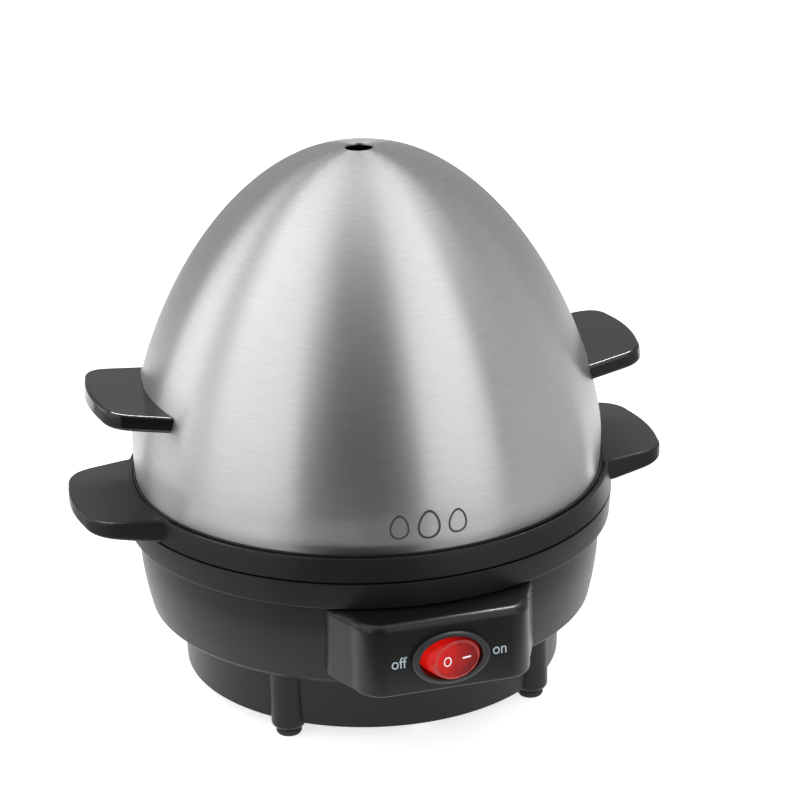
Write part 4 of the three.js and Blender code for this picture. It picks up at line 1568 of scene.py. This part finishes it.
@dataclass
class RockerSwitch:
    """The oval bezel and the lit rocker with its two signs."""

    finishes: Finishes
    box: ControlBox
    tilt: float = 12.0
    half_height: float = 6.5
    face: float = 6.8
    pivot: float = -3.6
    rim: float = 0.55
    recess: float = 0.22
    face_half: float = 8.0
    edge: float = 0.3
    sign_out: float = 3.4
    sides: tuple[Pair, ...] = (
        (-3.2, 9.35), (-1.6, 9.7), (0.0, 9.9), (1.0, 9.86), (2.0, 9.75), (3.0, 9.6), (3.8, 9.4),
        (4.6, 9.15), (5.2, 8.9), (5.8, 8.6), (6.3, 8.3),
    )

    def bezel(self) -> Obj:
        """The flange with a softly domed section, and its collar.

        Returns:
            The bezel.
        """
        flange = loft("bezel", oval(12.7, 8.8, OVAL_STEPS), edge_levels(0.05, 1.8, 0.2, 0.8))
        collar = loft("collar", oval(10.9, 7.8, OVAL_STEPS), [(-2.3, 0), (0.9, 0)])
        combine(flange, collar, Cut.JOIN)
        flare = [(-4, 0), (1.0, 0), (1.5, -0.1), (1.9, -0.5), (3, -0.5)]
        opening = loft("opening", oval(10.2, 7.1, OVAL_STEPS), flare)
        combine(flange, opening, Cut.REMOVE)
        move(flange, panel_matrix(self.box.front_y, self.box.switch_z))
        soften(flange)
        return place(dress(flange, self.finishes.grey), Body.BASE, "grey_plastic", "switch_bezel")

    def rest_matrix(self) -> Matrix:
        """From the rocker's own frame, with z out of its face, to the cooker's."""
        tilt = Matrix.Rotation(math.radians(self.tilt), 4, "Y")
        return panel_matrix(self.box.front_y, self.box.switch_z) @ shift(0, 0, self.pivot) @ tilt

    def rocker(self) -> Obj:
        """The red rocker: a stack of ovals with a rounded rim round a slightly sunk face.

        Returns:
            The rocker.
        """
        top, edge = self.face, self.edge
        sizes = [(z, x, self.half_height) for z, x in self.sides]
        for turn in range(15, 91, 15):
            a = math.radians(turn)
            inwards = edge * (1 - math.cos(a))
            height = top - edge + edge * math.sin(a)
            sizes.append((height, self.face_half - inwards, self.half_height - inwards))
        rim_x, rim_y = self.face_half - edge - self.rim, self.half_height - edge - self.rim
        sizes += [
            (top, rim_x + 0.1, rim_y + 0.1),
            (top - self.recess * 0.3, rim_x, rim_y),
            (top - self.recess, rim_x - 0.15, rim_y - 0.15),
        ]
        rocker = stack("rocker", [(z, oval(x, y, OVAL_STEPS)) for z, x, y in sizes])
        dress(rocker, self.finishes.lens)
        rocker.data.materials.append(self.finishes.lens_rim)
        rim_low = (top - 0.9 * edge) * MM
        for face in rocker.data.polygons:
            from_middle = math.hypot(face.center.x / MM / rim_x, face.center.y / MM / rim_y)
            on_rim = face.center.z > rim_low and from_middle > 0.999
            face.material_index = 1 if on_rim else 0
        move(rocker, self.rest_matrix())
        soften(rocker)
        return place(rocker, Body.ROCKER, "red_lens", "switch_rocker")

    def signs(self) -> None:
        """The ring and bar signs on the face."""
        ground = self.face - self.recess
        layer = [(ground - 0.02, 0), (ground + 0.06, 0)]
        ring = loft("sign_ring", oval(1.35, 1.6, 48), layer)
        core = loft("core", oval(1.02, 1.27, 48), [(self.face - 1, 0), (self.face + 1, 0)])
        combine(ring, core, Cut.REMOVE)
        move(ring, shift(-self.sign_out, 0, 0))
        bar = loft("sign_bar", oval(1.5, 0.26, 32, 6), layer)
        move(bar, shift(self.sign_out, 0, 0))
        for sign in (ring, bar):
            move(sign, self.rest_matrix())
            place(dress(sign, self.finishes.white_ink), Body.ROCKER, "white_ceramic")

    def build(self) -> None:
        """Build and place the switch."""
        self.bezel()
        self.rocker()
        self.signs()


# ---- Inner works ----


@dataclass
class InnerWorks:
    """The CAD nodes that keep their own shape and get their finish."""

    finishes: Finishes

    def build(self, frame: dict) -> None:
        """Dress every CAD node by its record slot.
        """
        slots = {row["node"]: row["material_slot"] for row in frame["record"]["subparts"]}
        for name, obj in frame["nodes"].items():
            dress(obj, self.finishes.for_slot(slots[name]))
        log.info("%d frame nodes dressed", len(slots))


# ---- Studio ----


@dataclass
class Studio:
    """Floor, lamps, sky and camera."""

    azimuth: float = -16.1
    elevation: float = 21.31
    distance: float = 900.0
    aim_right: float = 11.4
    aim_height: float = 93.4
    roll: float = -1.28
    lens: float = 121.4
    floor_glow: float = 0.74

    @staticmethod
    def outward(azimuth: float, elevation: float) -> tuple[Vector, Vector]:
        """Direction from the cooker at two angles, and the level direction to its right.

        Args:
            azimuth: degrees round from the front.
            elevation: degrees above the floor.

        Returns:
            The direction outwards and the direction to the right.
        """
        a, e = math.radians(azimuth), math.radians(elevation)
        back = Vector((math.sin(a) * math.cos(e), -math.cos(a) * math.cos(e), math.sin(e)))
        return back, Vector((math.cos(a), math.sin(a), 0))

    def camera(self) -> None:
        """Put the camera in place and make it the scene's."""
        back, right = self.outward(self.azimuth, self.elevation)
        up = back.cross(right)
        aim = right * self.aim_right + Vector((0, 0, self.aim_height))
        r = math.radians(self.roll)
        right2 = right * math.cos(r) + up * math.sin(r)
        up2 = up * math.cos(r) - right * math.sin(r)
        place_matrix = Matrix((right2, up2, back)).transposed().to_4x4()
        place_matrix.translation = (aim + back * self.distance) * MM
        data = bpy.data.cameras.new("camera")
        data.lens = self.lens
        data.sensor_width = 36.0
        data.clip_start = 0.05
        data.clip_end = 50.0
        camera = bpy.data.objects.new("camera", data)
        bpy.context.scene.collection.objects.link(camera)
        camera.matrix_world = place_matrix
        bpy.context.scene.camera = camera

    def floor(self) -> None:
        """A wide pale sweep that rises behind the cooker."""
        verts, faces = [], []
        width, bend_at, bend, top = 7000.0, 2000.0, 900.0, 3200.0
        path = [(-width, 0.0), (bend_at, 0.0)]
        path += [(bend_at + bend * math.sin(a), bend * (1 - math.cos(a)))
                 for a in (math.radians(d) for d in range(6, 91, 6))]
        path.append((bend_at + bend, top))
        for y, z in path:
            verts.extend([(-width, y, z), (width, y, z)])
        for i in range(len(path) - 1):
            faces.append([2 * i, 2 * i + 1, 2 * i + 3, 2 * i + 2])
        floor = mesh_object("floor", verts, faces)
        floor.data.polygons.foreach_set("use_smooth", [True] * len(faces))
        material, tree, shader = NodeBoard("pale_sweep").start()
        paper = grain(tree, 3.0, (1, 1, 1))
        tint(tree, shader, paper.outputs["Fac"], (0.78, 0.78, 0.78), (0.8, 0.8, 0.8))
        shader.inputs["Roughness"].default_value = 0.9
        shader.inputs["Specular IOR Level"].default_value = 0.1
        shader.inputs["Emission Color"].default_value = (1.0, 1.0, 1.0, 1.0)
        shader.inputs["Emission Strength"].default_value = self.floor_glow
        dress(floor, material)

    def lamp(self, name: str, azimuth: float, elevation: float, distance: float,
             size: Pair, power: float) -> Obj:
        """A soft rectangular lamp aimed at the cooker.

        Args:
            name: the lamp's name.
            azimuth: degrees round from the camera, to the right.
            elevation: degrees above the floor.
            distance: metres from the cooker.
            size: width and height in metres.
            power: watts.

        Returns:
            The lamp.
        """
        data = bpy.data.lights.new(name, "AREA")
        data.shape = "RECTANGLE"
        data.size, data.size_y = size
        data.energy = power
        back, right = self.outward(azimuth + self.azimuth, elevation)
        lamp = bpy.data.objects.new(name, data)
        bpy.context.scene.collection.objects.link(lamp)
        matrix = Matrix((right, back.cross(right), back)).transposed().to_4x4()
        middle_of_cooker = Vector((0, 0, 0.09))
        matrix.translation = back * distance + middle_of_cooker
        lamp.matrix_world = matrix
        return lamp

    def edge_strip(self, finishes: Sequence[Material]) -> None:
        """A narrow bright lamp overhead that lights only the mouldings, for the shine along their edges.

        Args:
            finishes: the materials of the mouldings that it lights.
        """
        lamp = self.lamp("edge_strip", 180, 68, 1.25, (1.1, 0.15), 42.0)
        lit = bpy.data.collections.new("edge_strip_receivers")
        for obj in bpy.context.scene.objects:
            if obj.type == "MESH" and obj.active_material in finishes:
                lit.objects.link(obj)
        lamp.light_linking.receiver_collection = lit

    def card(self, name: str, azimuth: float, half_angle: float, path: Sequence[Pair],
             level: float) -> None:
        """A plain card that is seen only in reflections.

        Args:
            name: the card's name.
            azimuth: degrees round from the camera, to the right.
            half_angle: half the angle that it covers, seen from the cooker.
            path: (distance, height) points of its section, in millimetres.
            level: its brightness.
        """
        steps = 12
        verts = []
        for reach, z in path:
            for k in range(steps + 1):
                a = math.radians(self.azimuth + azimuth - half_angle + 2 * half_angle * k / steps)
                verts.append((reach * math.sin(a), -reach * math.cos(a), z))
        faces = []
        for i in range(len(path) - 1):
            for k in range(steps):
                low = i * (steps + 1) + k
                faces.append([low, low + 1, low + steps + 2, low + steps + 1])
        card = mesh_object(name, verts, faces)
        material, _tree, shader = NodeBoard(f"{name}_paper").start()
        shader.inputs["Base Color"].default_value = (0.0, 0.0, 0.0, 1.0)
        shader.inputs["Specular IOR Level"].default_value = 0.0
        shader.inputs["Emission Color"].default_value = (1.0, 1.0, 1.0, 1.0)
        shader.inputs["Emission Strength"].default_value = level
        dress(card, material)
        card.visible_camera = False
        card.visible_diffuse = False
        card.visible_shadow = False
        card.visible_transmission = False

    def sky(self, level: float) -> None:
        """A plain grey surround.

        Args:
            level: its brightness.
        """
        world = bpy.data.worlds.new("surround")
        bpy.context.scene.world = world
        world.use_nodes = True
        background = world.node_tree.nodes["Background"]
        background.inputs["Color"].default_value = (1.0, 1.0, 1.0, 1.0)
        background.inputs["Strength"].default_value = level

    def build(self) -> None:
        """Set up the studio."""
        bpy.context.scene.view_settings.view_transform = "Standard"
        self.camera()
        self.floor()
        rising = [(215, 2), (330, 2), (480, 2), (570, 15), (620, 60), (640, 400)]
        self.card("front_card", -3, 28, rising, 0.015)
        self.card("near_front_card", -2, 37, [(150, 3), (310, 3)], 0.09)
        self.card("left_low_card", -77, 46, [(150, 2), (640, 2)], 0.52)
        self.card("right_low_card", 72, 47, [(150, 2), (640, 2)], 0.45)
        self.card("back_card", 180, 62, [(620, 30), (660, 60), (680, 1000)], 0.42)
        self.lamp("left_front_soft_box", -55, 28, 1.2, (1.1, 1.3), 5.4)
        self.lamp("left_side_soft_box", -100, 26, 1.2, (0.95, 1.3), 2.7)
        self.lamp("right_front_soft_box", 45, 28, 1.2, (0.82, 1.3), 4.2)
        self.lamp("right_side_soft_box", 100, 26, 1.2, (1.2, 1.3), 1.5)
        self.lamp("top_soft_box", 180, 80, 1.3, (2.1, 1.5), 13.0)
        self.sky(0.18)


def main() -> None:
    """Build the cooker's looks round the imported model."""
    logging.basicConfig(level=logging.INFO, format="%(name)s: %(message)s")
    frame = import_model()
    studio = Studio()
    studio.build()
    finishes = Finishes()
    InnerWorks(finishes).build(frame)
    Lid(finishes).build()
    EggTray(finishes).build()
    base = Base(finishes)
    base.build()
    WaterDish(finishes).build()
    box = ControlBox(finishes, base)
    box.build()
    RockerSwitch(finishes, box).build()
    studio.edge_strip((finishes.gloss_black, finishes.satin_black, finishes.box_black, finishes.grey))


if __name__ == "__main__":
    main()
